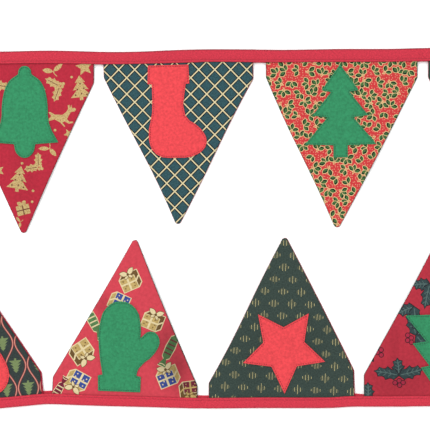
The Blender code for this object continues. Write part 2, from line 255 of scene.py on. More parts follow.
def cotton(name, colour, depth=0.14, grain=1.2, dots=None, stipple=None, turn=0.0):
    """Woven cotton of a screen colour. Grain is in mm; dots and stipple are (colour, mm, share)."""
    material, tree = blank(name)
    cloth_map = wire(tree, "ShaderNodeUVMap", uv_map="cut")
    place = wire(tree, "ShaderNodeMapping", {
        "Vector": cloth_map.outputs["UV"], "Rotation": (0, 0, turn)}).outputs["Vector"]
    shown, cloud = speckle(tree, place, screen_colour(*colour), depth, grain * MM)
    if stipple:
        other, size, share = stipple
        grainy = wire(tree, "ShaderNodeTexNoise", {
            "Vector": place, "Scale": 1 / (size * MM), "Detail": 2.0})
        edge = ramp(tree, grainy.outputs["Fac"], 0.62 - share / 3, 0.70 - share / 3)
        shown = mixed(tree, edge, shown, screen_colour(*other))
    if dots:
        other, pitch, share = dots
        cells = wire(tree, "ShaderNodeTexVoronoi", {
            "Vector": place, "Scale": 1 / (pitch * MM), "Randomness": 0.7}, voronoi_dimensions="2D")
        edge = ramp(tree, cells.outputs["Distance"], share * 1.3, share * 0.8)
        shown = mixed(tree, edge, shown, screen_colour(*other))
    # painted shade: the cloth is painted darker by the share that the mesh carries
    tone = wire(tree, "ShaderNodeAttribute", attribute_name="tone").outputs["Fac"]
    warp, weft = (wire(tree, "ShaderNodeTexWave", {
        "Vector": place, "Scale": WAVE_REACH / THREAD, "Distortion": 0.6, "Detail": 1.0},
        wave_type="BANDS", bands_direction=way).outputs["Fac"] for way in "XY")
    weave = wire(tree, "ShaderNodeMath", {0: warp, 1: weft}, operation="MAXIMUM")
    relief = wire(tree, "ShaderNodeMath", {0: cloud, 1: weave.outputs[0]}, operation="ADD")
    coat(tree, mixed(tree, tone, shown, (0, 0, 0, 1)), relief.outputs[0], strength=0.35,
         depth=0.10 * MM, roughness=0.88, specular=0.15, sheen=(0.04, 0.5))
    return material


LININGS = {"crimson": cotton("crimson_lining_cotton", (170, 35, 58)),
           "green": cotton("green_lining_cotton", (44, 66, 50))}
print("linings:", sorted(LININGS))

# %% [markdown]
# ## Felt
#
# Craft felt has no weave. Its fibres lie in all directions, so it looks cloudy at a few millimetres
# and hairy at less than one. Real hairs would be far too many, so two noises give it that, and a
# stronger sheen gives the soft bloom of loose fibres at its edges.

# %% Felt
def felt(name, colour):
    material, tree = blank(name)
    place = wire(tree, "ShaderNodeTexCoord").outputs["Object"]
    shown, cloud = speckle(tree, place, screen_colour(*colour), 0.17, 1.3 * MM)
    fibres = wire(tree, "ShaderNodeTexNoise", {
        "Vector": place, "Scale": 1 / (0.5 * MM), "Detail": 4.0, "Distortion": 1.5})
    relief = wire(tree, "ShaderNodeMath", {0: cloud, 1: fibres.outputs["Fac"]}, operation="ADD")
    coat(tree, shown, relief.outputs[0], strength=0.5, depth=0.25 * MM, roughness=0.95,
         specular=0.15, sheen=(0.10, 0.6))
    return material


FELTS = {"red_felt": felt("red_wool_felt", (243, 74, 81)),
         "green_felt": felt("green_wool_felt", (50, 146, 98))}
print("felts:", sorted(FELTS))

# %% [markdown]
# ## The flags of this string
#
# Each flag is a front of printed cotton, a lining and a felt shape. All could be drawn where they lie,
# but a flag is easier to draw as it hangs: x runs across it and y up to the binding, from the middle
# of its top edge. The lower row is turned round, so its x and y both change sign. The table says
# which row a flag is in and what its lining and felt are; its place is read from the frame.
# `table_place` gives the place on the table that a pixel of the photograph shows.

# %% The flags
HEADING_DEPTH = 11.6              # mm of each flag that the binding hides

Flag = namedtuple("Flag", "name row lining felt")
FLAGS = [Flag(*row) for row in (
    ("gold_print", 1, "green", "green_felt"), ("lattice", 1, "crimson", "red_felt"),
    ("sprig", 1, "green", "green_felt"), ("pin_dot", 1, "crimson", "red_felt"),
    ("ogee", -1, "crimson", "red_felt"), ("parcel", -1, "green", "green_felt"),
    ("lozenge", -1, "crimson", "red_felt"), ("holly", -1, "green", "green_felt"),
)]


def find_hook(flag):
    """The middle of a flag's top edge beside the binding, in millimetres on the table."""
    low, high = (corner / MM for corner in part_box(f"{flag.name}_front"))
    top = high.y if flag.row > 0 else low.y
    return (low.x + high.x) / 2, top - flag.row * HEADING_DEPTH


HOOKS = {flag.name: find_hook(flag) for flag in FLAGS}


def laid(flag, points):
    """Points of the hanging flag, where they lie on the table."""
    x0, y0 = HOOKS[flag.name]
    return [(x0 + flag.row * x, y0 + flag.row * y) for x, y in points]


def hanging(flag, point):
    """A point on the table, in the frame of the hanging flag."""
    return (np.asarray(point, float) - HOOKS[flag.name]) * flag.row


def table_place(pixel_x, pixel_y):
    """Where a pixel of the photograph lies on the table, in millimetres."""
    half = PHOTO_PIXELS / 2
    return (((pixel_x - half) * PIXEL + PHOTO_CENTRE[0]) / MM,
            ((half - pixel_y) * PIXEL + PHOTO_CENTRE[1]) / MM)


for flag in FLAGS:
    print(flag.name, [round(v, 1) for v in HOOKS[flag.name]])

# %% [markdown]
# ## How the cloth lies
#
# The frame's solids say where each flag rises over the binding and where its soft folds are, but in
# flat facets. Cloth simulation would flatten them, so the heights are read instead: a ray from
# above finds the front's face every 2.5 mm, a blur takes the facets out, and a faint noise gives the
# unevenness of cloth that was ironed once and then put away. Front, lining and felt all use this
# one drape, so they stay in their order.

# %% The drape of a flag
CELL = 2.5                        # mm between two readings
BLUR = 2.2                        # readings
MARGIN = 14.0                     # mm that the drape reaches beyond the cloth
RUMPLE = 0.34                     # mm
FLAT_TOP = 2.3                    # mm, the front's upper face where it lies flat


def merged_copy(node):
    """A node's solid with its loose triangles joined; the node itself stays as it is."""
    solid = bmesh.new()
    solid.from_mesh(frame["nodes"][node].data)
    bmesh.ops.remove_doubles(solid, verts=solid.verts[:], dist=0.001 * MM)
    solid.verts.index_update()
    solid.normal_update()
    return solid


def blurred(values):
    """A soft blur along both directions."""
    reach = math.ceil(3 * BLUR)
    weights = np.exp(-0.5 * (np.arange(-reach, reach + 1) / BLUR) ** 2)
    for axis in (0, 1):
        values = np.apply_along_axis(np.convolve, axis, values, weights, "same")
    return values


def read_drape(node):
    """The smooth height of a node's upper face as (corner, readings), in millimetres."""
    low, high = (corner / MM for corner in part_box(node))
    corner = np.array(low.xy) - MARGIN
    counts = np.ceil((np.array(high.xy) + MARGIN - corner) / CELL).astype(int) + 1
    solid = merged_copy(node)
    tree = BVHTree.FromBMesh(solid)
    solid.free()
    height, seen, rumple = (np.zeros(counts) for _ in range(3))
    for i, j in np.ndindex(*counts):
        x, y = corner + CELL * np.array([i, j])
        hit = tree.ray_cast(Vector((x, y, 100)) * MM, Vector((0, 0, -1)))[0]
        if hit:
            height[i, j], seen[i, j] = hit.z / MM, 1
        rumple[i, j] = noise.noise((x / 31, y / 38, 3.0)) + 0.5 * noise.noise((x / 14, y / 17, 9.0))
    total, weight = blurred(height), blurred(seen)
    smooth = np.where(weight > 1e-4, total / np.maximum(weight, 1e-4), FLAT_TOP)
    return corner, smooth + RUMPLE * rumple


def height_at(drape, points):
    """The drape's height at points (x, y), between its readings."""
    corner, readings = drape
    place = (np.asarray(points, float) - corner) / CELL
    place = np.clip(place, 0, np.array(readings.shape) - 1.001)
    cell = place.astype(int)
    i, j = cell.T
    a, b = (place - cell).T
    return (readings[i, j] * (1 - a) * (1 - b) + readings[i + 1, j] * a * (1 - b)
            + readings[i, j + 1] * (1 - a) * b + readings[i + 1, j + 1] * a * b)


DRAPES = {flag.name: read_drape(f"{flag.name}_front") for flag in FLAGS}
for name, (_, readings) in DRAPES.items():
    print(name, "lies between", round(readings.min(), 2), "and", round(readings.max(), 2), "mm")

# %% [markdown]
# ## The cut line of each piece
#
# The cut line of a piece could be drawn again, but the solid already has it: it is where its upper
# faces meet its side walls. It is walked once round, divided into short steps, and its corners are
# worn a little round, as scissors and turning leave them. `inset` gives a line that runs inside it
# at one distance, for edges and stitches: each point moves inwards, and those that end up nearer to
# the edge than they should are dropped.

# %% Outlines
FACES_UP = 0.7                    # a face looks up where its normal rises more than this


def ring_of(edges):
    """The points of the longest chain of edges, in order."""
    beside = {}
    for a, b in edges:
        beside.setdefault(a, []).append(b)
        beside.setdefault(b, []).append(a)
    chains = []
    while beside:
        here = next(iter(beside))
        chains.append([])
        while here is not None:
            chains[-1].append(here)
            here = next((n for n in beside.pop(here) if n in beside), None)
    return max(chains, key=len)


def signed_area(loop):
    p = np.asarray(loop, float)
    q = np.roll(p, -1, axis=0)
    return 0.5 * float(np.sum(p[:, 0] * q[:, 1] - q[:, 0] * p[:, 1]))


def unit(runs):
    """Directions of length 1."""
    return runs / np.maximum(np.linalg.norm(runs, axis=1), 1e-6)[:, None]


def turned_left(runs):
    """Directions turned a quarter to the left."""
    return np.stack([-runs[:, 1], runs[:, 0]], axis=1)


def stepped(loop, step):
    """The same loop with extra points, none further apart than step."""
    found = []
    for (ax, ay), (bx, by) in zip(loop, loop[1:] + loop[:1]):
        pieces = max(1, math.ceil(math.hypot(bx - ax, by - ay) / step))
        found += [(ax + (bx - ax) * k / pieces, ay + (by - ay) * k / pieces) for k in range(pieces)]
    return found


def worn(loop, rounds):
    """The loop with its corners cut back, a quarter of each side at a time."""
    for _ in range(rounds):
        loop = [(ax * (1 - s) + bx * s, ay * (1 - s) + by * s)
                for (ax, ay), (bx, by) in zip(loop, loop[1:] + loop[:1]) for s in (0.25, 0.75)]
    return loop


def outline_of(node, step, rounds):
    """The outline of a solid's upper side, in millimetres, running left."""
    solid = merged_copy(node)
    edges = [[v.index for v in edge.verts] for edge in solid.edges
             if sorted(face.normal.z > FACES_UP for face in edge.link_faces) == [False, True]]
    solid.verts.ensure_lookup_table()
    loop = [tuple(solid.verts[k].co.xy / MM) for k in ring_of(edges)]
    solid.free()
    if signed_area(loop) < 0:
        loop.reverse()
    return stepped(worn(stepped(loop, step), rounds), step)


def edge_distance(points, loop):
    """How far each point lies from the loop."""
    a = np.asarray(loop, float)
    run = np.roll(a, -1, axis=0) - a
    length = np.maximum((run ** 2).sum(1), 1e-12)
    found = []
    for part in np.array_split(np.asarray(points, float), max(1, len(points) // 3000)):
        gap = part[:, None, :] - a[None]
        share = np.clip((gap * run).sum(2) / length, 0, 1)
        found.append(np.sqrt((((gap - share[..., None] * run) ** 2).sum(2)).min(1)))
    return np.concatenate(found)


def inside(points, loop):
    """Which points lie inside the loop."""
    p = np.asarray(points, float)
    found = np.zeros(len(p), bool)
    for (ax, ay), (bx, by) in zip(loop, loop[1:] + loop[:1]):
        crosses = (ay > p[:, 1]) != (by > p[:, 1])
        if ay != by:
            found ^= crosses & (p[:, 0] < (bx - ax) * (p[:, 1] - ay) / (by - ay) + ax)
    return found


def inset(loop, distance):
    """A loop inside this one, which runs left, at that distance from it."""
    fine = np.asarray(stepped(loop, max(0.8, distance / 3)), float)
    ahead, behind = unit(np.roll(fine, -1, axis=0) - fine), unit(fine - np.roll(fine, 1, axis=0))
    left = unit(turned_left(ahead + behind))
    slant = np.maximum(0.25, (left * turned_left(ahead)).sum(1))
    moved = fine + left * (distance / slant)[:, None]
    kept = (edge_distance(moved, loop) > distance * 0.97) & inside(moved, loop)
    return [tuple(p) for p in moved[kept]]


OUTLINES = {}
for flag in FLAGS:
    for part, step, rounds in (("front", 3.0, 2), ("back", 3.0, 2), ("felt", 2.0, 1)):
        node = f"{flag.name}_{part}"
        loop = OUTLINES[node] = outline_of(node, step, rounds)
        print(node, len(loop), "points,", round(signed_area(loop) / 100, 1), "cm2")

# %% [markdown]
# ## Cutting a sheet of cloth
#
# A cut piece is a closed sheet: an upper face, a lower face, and an edge that joins them. A grid
# with a Solidify modifier is the quick way, but its edge would be a staircase and its print
# only a texture. Here Delaunay's rule makes the triangles, and it takes any lines and loops as
# given. Each printed figure is a loop on the sheet, the triangles inside it take its ink, and the
# figure's edge is as sharp as a printed one and stays with the cloth from every side. The lower
# face needs no print, so its triangles are larger.

# %% Cutting a sheet
ROW_RISE = 0.866                  # rows of even triangles lie this share of a side apart


def grid_inside(loop, spacing, clear):
    """Evenly spread points inside a loop, at least clear from its edge."""
    low, high = np.min(loop, axis=0), np.max(loop, axis=0)
    points = np.array([
        (x, y) for k, y in enumerate(np.arange(low[1], high[1], spacing * ROW_RISE))
        for x in np.arange(low[0] + (k % 2) * spacing / 2, high[0], spacing)])
    points = points[inside(points, loop)]
    return [tuple(p) for p in points[edge_distance(points, loop) > clear]]


def triangles_of(loops, lines, grid):
    """Triangles inside the first loop: (points, triangles, the last loop that holds each)."""
    points, faces, edges = [], [], []
    for loop in loops:
        faces.append(list(range(len(points), len(points) + len(loop))))
        points += loop
    for line in lines:
        first = len(points)
        points += line
        edges += [(first + k, first + (k + 1) % len(line)) for k in range(len(line))]
    found, _, triangles, _, _, sources = delaunay_2d_cdt(
        [Vector(p) for p in points + grid], edges, faces, 0, 1e-5)
    kept = [(t, max(s)) for t, s in zip(triangles, sources) if 0 in s]
    return np.array([tuple(p) for p in found]), [list(t) for t, _ in kept], [s for _, s in kept]


def rim_of(points, triangles):
    """The outer edge of a patch of triangles, in order, running left."""
    uses = Counter(frozenset(edge) for t in triangles for edge in zip(t, t[1:] + t[:1]))
    ring = ring_of([tuple(edge) for edge, count in uses.items() if count == 1])
    return ring if signed_area(points[ring]) > 0 else ring[::-1]


def figures_on(outline, figures):
    """The figures that a sheet shows at least in part, each running left."""
    middles = np.array([np.mean(loop, axis=0) for loop, _ in figures])
    reaches = [np.linalg.norm(np.subtract(loop, middle), axis=1).max()
               for (loop, _), middle in zip(figures, middles)]
    seen = inside(middles, outline) | (edge_distance(middles, outline) < reaches)
    return [(loop if signed_area(loop) > 0 else loop[::-1], ink)
            for (loop, ink), shows in zip(figures, seen) if shows]


def as_piece(name, bm, inks, sharp):
    """The mesh as a smooth object; edges of more than that many degrees stay sharp."""
    mesh = bpy.data.meshes.new(name)
    bm.to_mesh(mesh)
    bm.free()
    for ink in inks:
        mesh.materials.append(ink)
    mesh.shade_smooth()
    mesh.set_sharp_from_angle(angle=math.radians(sharp))
    return linked(name, mesh)


def cut_sheet(name, outline, faces, inks, rings, figures=(), fine=3.0, coarse=7.0, cloth=None,
              upright=False, tone_of=None):
    """A closed sheet. faces are the heights of its upper and lower face for (points, distance from
    the edge); rings are extra lines inside its edge; figures are (loop, ink number), in the order of
    printing; cloth is the flag that gives the map; an upright edge gets a wall."""
    above, below = faces
    shown = figures_on(outline, figures) if figures else []
    upper, upper_faces, sources = triangles_of(
        [outline] + [loop for loop, _ in shown], [inset(outline, ring) for ring in rings],
        grid_inside(outline, fine, max(rings) + fine * 0.4))
    numbers = [0] + [ink for _, ink in shown]
    rim = rim_of(upper, upper_faces)
    lower, lower_faces, _ = triangles_of(
        [[tuple(upper[k]) for k in rim]], [], grid_inside(outline, coarse, coarse * 0.5))

    upper_z = above(upper, edge_distance(upper, outline))
    lower_z = below(lower, edge_distance(lower, outline).round(3))
    rim_z = below(upper[rim], np.zeros(len(rim)))
    if not upright:
        upper_z[rim] = rim_z
    bm = bmesh.new()
    cut_map = bm.loops.layers.uv.new("cut")
    tone = bm.verts.layers.float.new("tone")
    up, down = ([bm.verts.new((*p * MM, z * MM)) for p, z in zip(points, heights)]
                for points, heights in ((upper, upper_z), (lower, lower_z)))
    # painted shade of the upper face, darker along the seam and in soft folds
    if tone_of:
        for vert, value in zip(up, tone_of(upper, edge_distance(upper, outline))):
            vert[tone] = value
    for face, source in zip(upper_faces, sources):
        bm.faces.new([up[k] for k in face]).material_index = numbers[source]
    for face in lower_faces:
        bm.faces.new([down[k] for k in reversed(face)])
    if upright:
        foot = {k: bm.verts.new((*upper[k] * MM, z * MM)) for k, z in zip(rim, rim_z)}
        for a, b in zip(rim, rim[1:] + rim[:1]):
            bm.faces.new((up[a], foot[a], foot[b], up[b]))
    bmesh.ops.remove_doubles(bm, verts=bm.verts[:], dist=0.002 * MM)
    bmesh.ops.dissolve_degenerate(bm, edges=bm.edges[:], dist=0.0005 * MM)
    bmesh.ops.delete(bm, geom=[v for v in bm.verts if not v.link_faces], context="VERTS")
    bm.normal_update()
    origin = Vector(HOOKS[cloth.name]) * MM if cloth else Vector((0, 0))
    for face in bm.faces:
        for corner in face.loops:
            corner[cut_map].uv = (corner.vert.co.xy - origin) * (cloth.row if cloth else 1)
    open_edges = sum(1 for e in bm.edges if len(e.link_faces) != 2)
    print(f"{name}: {len(bm.faces)} faces, {len(shown)} figures, {open_edges} open edges")
    return as_piece(name, bm, inks, 60)


print("ready to cut")

# %% [markdown]
# ## Drawing the printed figures
#
# A figure is a loop of points in millimetres, drawn upright about its own middle, with the number of
# the ink that fills it. Figures could be drawn with curves and joined, but plain lists of points
# go straight into the cutting. `put` turns, scales and places a whole drawing. Leaves, stars, dots
# and stripes are drawn by rule, and only figures without a rule are given point by point.

# %% Figures
def put(drawing, at, turn=0.0, size=1.0):
    """A drawing moved to a place on the cloth."""
    c, s = math.cos(math.radians(turn)) * size, math.sin(math.radians(turn)) * size
    return [([(at[0] + x * c - y * s, at[1] + x * s + y * c) for x, y in loop], ink)
            for loop, ink in drawing]


def charted(chart):
    """The figures of a whole chart, with the columns drawing, x, y, turn and size."""
    return [figure for drawing, x, y, turn, size in chart for figure in put(drawing, (x, y), turn, size)]


def mirrored(half):
    """A whole loop from its right half, from top to bottom."""
    return half + [(-x, y) for x, y in reversed(half) if x > 0]


def grown(loop, by):
    """The loop drawn larger by about that much all round, for an outline in another ink."""
    points = np.asarray(loop, float)
    return [tuple(p) for p in points + unit(points - np.mean(points, axis=0)) * by]


def dot(radius, points=8, at=(0, 0)):
    turns = [2 * math.pi * k / points for k in range(points)]
    return [(at[0] + radius * math.cos(a), at[1] + radius * math.sin(a)) for a in turns]


def stripe(path, width):
    """A band of that width along a path."""
    p = np.asarray(path, float)
    side = turned_left(unit(np.gradient(p, axis=0))) * width / 2
    return [tuple(q) for q in np.concatenate([p + side, (p - side)[::-1]])]


def leaf(length, width, points=5):
    """A pointed leaf that grows upwards from its stem."""
    shares = [(k + 1) / (points + 1) for k in range(points)]
    half = [(width / 2 * math.sin(math.pi * s) ** 0.8, length * (1 - s)) for s in shares]
    return mirrored([(0, length)] + half + [(0, 0)])


def star(reach, waist=0.45, points=5):
    """A star whose inner corners lie at a share of its reach."""
    return [(reach * (waist if k % 2 else 1) * math.sin(math.pi * k / points),
             reach * (waist if k % 2 else 1) * math.cos(math.pi * k / points))
            for k in range(2 * points)]


def holly_leaf(length, width):
    """A leaf with spines: the points between them are drawn in."""
    half = [(0, 1), (0.14, 0.86), (0.42, 0.80), (0.32, 0.64), (0.35, 0.56), (0.56, 0.50), (0.38, 0.36),
            (0.38, 0.29), (0.48, 0.20), (0.18, 0.07), (0, 0)]
    return mirrored([(x * width, y * length) for x, y in half])


def fir(width, height, tiers=3, trunk=0.12):
    """A fir tree of a few tiers on a trunk."""
    half = [(0, height)]
    step = height * (1 - trunk) / tiers
    for k in range(tiers):
        reach = width / 2 * (0.25 + 0.75 * (k + 1) / tiers)
        y = height - (k + 1) * step
        half.append((reach, y))
        if k < tiers - 1:
            half.append((reach * 0.45, y + 0.10 * step))
    return mirrored(half + [(width * 0.08, y), (width * 0.08, 0), (0, 0)])


print("a holly leaf has", len(holly_leaf(1, 1)), "points")

# %% [markdown]
# ## The lattice print
#
# Each of the eight prints is a function that gives its inks, the ground's first, and its figures in
# the hanging flag's frame. This one is a diagonal net of cream lines on teal, with a navy shadow
# under each line. A wave texture could draw it, but crossing stripes in the mesh stay sharp. Pitch
# and one crossing were measured in the photograph, and the rest follows.

# %% Lattice
PRINTS = {}


def lattice_print(flag):
    inks = [cotton("lattice_teal", (50, 86, 93), 0.34, 0.8), cotton("lattice_navy", (16, 28, 40), 0.15),
            cotton("lattice_cream", (234, 219, 172), 0.12)]
    pitch_x, pitch_y, reach, crossing = 17.45, 17.7, 210, (21.0, 159.1)
    start_x, start_y = hanging(flag, crossing)
    figures = []
    for width, ink in ((3.3, 1), (1.28, 2)):
        for way in (-1, 1):
            run = way * reach / pitch_y * pitch_x
            for k in range(-16, 17):
                path = [(start_x + k * pitch_x + run * t, start_y + reach * t)
                        for t in (-1, -0.5, 0, 0.5, 1)]
                figures.append((stripe(path, width), ink))
    return inks, figures


PRINTS["lattice"] = lattice_print
print("prints so far:", sorted(PRINTS))

# %% [markdown]
# ## The ogee print
#
# Waving lines in pairs swing towards each other and apart, and a fir tree stands in each space that
# they leave. A cosine gives the swing, and every other line has it the other way round. The
# salmon line is printed over a wider wine one, so it has a dark edge. The whole repeat is
# tilted by a few degrees, because this flag was not cut quite along the print.

# %% Ogee
def ogee_print(flag):
    inks = [cotton("ogee_pine", (54, 64, 62), 0.30, 0.8), cotton("ogee_wine", (112, 40, 54), 0.12),
            cotton("ogee_salmon", (222, 147, 129), 0.10), cotton("ogee_fir", (124, 142, 94), 0.12)]
    pitch, wave, swing, tilt, middle = 11.9, 50.5, 4.95, 5.0, (-196.1, -146.0)
    figures = []
    for width, ink in ((2.4, 1), (1.1, 2)):
        for k in range(-9, 10):
            way = 1 if k % 2 else -1
            path = [((k - 0.5) * pitch + way * swing * math.cos(2 * math.pi * y / wave), y)
                    for y in np.arange(-210, 70, 2.5)]
            figures.append((stripe(path, width), ink))
    for k in range(-9, 10):
        for row in range(-4, 3):
            figures += put([(fir(14, 16, 4, 0.14), 3)], (k * pitch, (row + k % 2 / 2) * wave - 8))
    return inks, put(figures, hanging(flag, middle), tilt)


PRINTS["ogee"] = ogee_print
print("prints so far:", sorted(PRINTS))

# %% [markdown]
# ## The lozenge print
#
# Seven short dashes of gold side by side, longest in the middle, make a lozenge, and the lozenges
# stand in offset rows. Every other dash is in a duller ink, and each is a little uneven, as in
# the photograph, so a seeded chance draws them and no two lozenges are quite alike.

# %% Lozenges
def lozenge_print(flag):
    inks = [cotton("lozenge_pine", (58, 73, 67), 0.30, 0.8),
            cotton("lozenge_gold", (228, 212, 150), 0.25, 0.6),
            cotton("lozenge_olive", (112, 112, 78), 0.25, 0.6)]
    dash_pitch, pitch_x, pitch_y, tilt, middle = 1.62, 19.8, 13.25, -2.3, (95.7, -65.2)
    chance = random.Random(7)
    figures = []
    for row in range(-14, 14):
        for k in range(-6, 7):
            marks = []
            for dash in range(-3, 4):
                tall = (4.6 - abs(dash) * 1.1) * chance.uniform(0.8, 1.15)
                lean = chance.uniform(-0.15, 0.15)
                path = [(dash * dash_pitch + lean, -tall), (dash * dash_pitch, tall)]
                marks.append((stripe(path, 0.40), 1 if (dash + k) % 2 else 2))
            figures += put(marks, ((k + row % 2 / 2) * pitch_x, row * pitch_y))
    return inks, put(figures, hanging(flag, middle), tilt)


PRINTS["lozenge"] = lozenge_print
print("prints so far:", sorted(PRINTS))

# %% [markdown]
# ## The pin dot print
#
# Only a strip of this flag is in the picture: dark green with small gold spots. Offset rows of dots
# are the plainest repeat that fits it.

# %% Pin dots
def pin_dot_print(flag):
    inks = [cotton("pin_dot_pine", (46, 70, 62), 0.16), cotton("pin_dot_gold", (196, 172, 104), 0.15)]
    radius, pitch_x, pitch_y = 1.1, 11, 9.5
    return inks, [(dot(radius, 8, (pitch_x * (k + row % 2 / 2), pitch_y * row)), 1)
                  for row in range(-20, 3) for k in range(-9, 10)]


PRINTS["pin_dot"] = pin_dot_print
print("prints so far:", sorted(PRINTS))

# %% [markdown]
# ## The sprig print
#
# Small sprigs of two to four leaves cover a scarlet ground that is itself finely spotted. Each leaf
# is printed three times: a cream one a little larger, a dark one, and a green light on it. The
# ground's spots are far too small for the mesh, so they are a Voronoi texture in its cotton. The
# chart comes from a seeded chance: offset rows, with each sprig moved and turned.

# %% Sprigs
def sprig_print(flag):
    inks = [cotton("sprig_scarlet", (214, 62, 64), 0.10, 1.6, dots=((240, 170, 140), 2.7, 0.17)),
            cotton("sprig_cream", (234, 208, 146), 0.10), cotton("sprig_dark", (26, 48, 34), 0.15),
            cotton("sprig_leaf", (72, 116, 62), 0.25)]
    fans = (-34, 36), (-58, 2, 60), (-62, -4, 54), (-56, 4, 62), (-92, -32, 28, 90)
    across, down, spacing, row_rise, moved = 85, 190, 13.6, 0.87, 0.17
    chance = random.Random(21)
    columns = int(across / spacing)
    places = [((k + row % 2 / 2 + chance.uniform(-moved, moved)) * spacing,
               (-row * row_rise + chance.uniform(-moved, moved)) * spacing)
              for row in range(int(down / (spacing * row_rise)) + 1) for k in range(-columns, columns + 1)]
    figures = []
    for place in places:
        heading = chance.uniform(0, 360)
        drawing = []
        for turn in chance.choice(fans):
            length = chance.uniform(6.0, 7.6)
            width = length * chance.uniform(0.56, 0.66)
            blade = leaf(length, width)
            light = [(x * 0.6 + 0.6, y * 0.66 + 0.9) for x, y in leaf(length, width, 3)]
            one = [(grown(blade, 0.7), 1), (blade, 2), (light, 3)]
            drawing += put(put(one, (0, 0.9)), (0, -2.2), turn + chance.uniform(-8, 8))
        if chance.random() < 0.6:
            drawing += [(dot(0.8, 6, (1.1 * math.cos(a), -3.6 + 1.1 * math.sin(a))), 1)
                        for a in (0.4, 2.5, 4.6)]
        figures += put(drawing, place, heading)
    return inks, figures


PRINTS["sprig"] = sprig_print
print("prints so far:", sorted(PRINTS))

# %% [markdown]
# ## The holly print
#
# Large sprigs of holly with a black edge, pale veins and a few berries lie on dark red. It is an
# ordinary motif, drawn here by rule and not traced. The sprigs that the photograph shows have
# their places from its pixels, and the rest of the flag is filled in the same way.

# %% Holly
Sprig = namedtuple("Sprig", "pixel_x pixel_y turn leaves berries")
SEEN_SPRIGS = [Sprig(*row) for row in (
    (399.3, 377.5, 180, 3, 4), (414.5, 336.3, 117, 3, 4), (432.0, 284.0, -92, 2, 4),
    (368.0, 402.0, 174, 1, 0), (375.0, 354.5, -60, 1, 4), (416.0, 306.0, -72, 2, 0))]
MORE_SPRIGS = ((-20, -34, 160), (-52, -20, 20), (-38, -66, -60), (-14, -92, 110), (-4, -150, 150),
               (-70, -2, 80))


def holly_sprig(leaves, berries):
    drawing = []
    for turn, length, width in ((6, 17, 11), (80, 25, 11), (-76, 25, 11.5))[:leaves]:
        blade = holly_leaf(length, width)
        veins = [(stripe([(0, 2), (0.4, length * 0.5), (0, length * 0.9)], 0.8), 3)]
        veins += [(stripe([(0, length * k), (way * 3.2, length * (k + 0.13))], 0.55), 3)
                  for k in (0.3, 0.5, 0.7) for way in (-1, 1)]
        drawing += put([(grown(blade, 0.8), 1), (blade, 2)] + veins, (0, 2), turn)
    for at in ((-3.9, -5.4), (0.2, -3.4), (4.1, -5.2), (0.6, -7.8))[:berries]:
        drawing += [(dot(2.7, 10, at), 1), (dot(2.0, 10, at), 4)]
    return drawing


def holly_print(flag):
    inks = [cotton("holly_red", (188, 50, 66), 0.12, 1.6), cotton("holly_black", (34, 26, 32), 0.10),
            cotton("holly_teal", (54, 73, 75), 0.34), cotton("holly_vein", (94, 118, 114), 0.10),
            cotton("holly_berry", (176, 44, 70), 0.12)]
    chart = [(holly_sprig(s.leaves, s.berries), *hanging(flag, table_place(s.pixel_x, s.pixel_y)),
              s.turn, 1.1) for s in SEEN_SPRIGS]
    return inks, charted(chart + [(holly_sprig(3, 4), *row, 1.0) for row in MORE_SPRIGS])


PRINTS["holly"] = holly_print
print("prints so far:", sorted(PRINTS))

# %% [markdown]
# ## The gold print
#
# Small gold figures are scattered on crimson: a leaping deer, firs, stars, a bell, a cap, a gift and
# holly. They could be strewn by chance, but a chart keeps them from running into each other, and
# all were drawn for this lesson. Gold ink on cloth is uneven, which a stipple in its cotton gives.

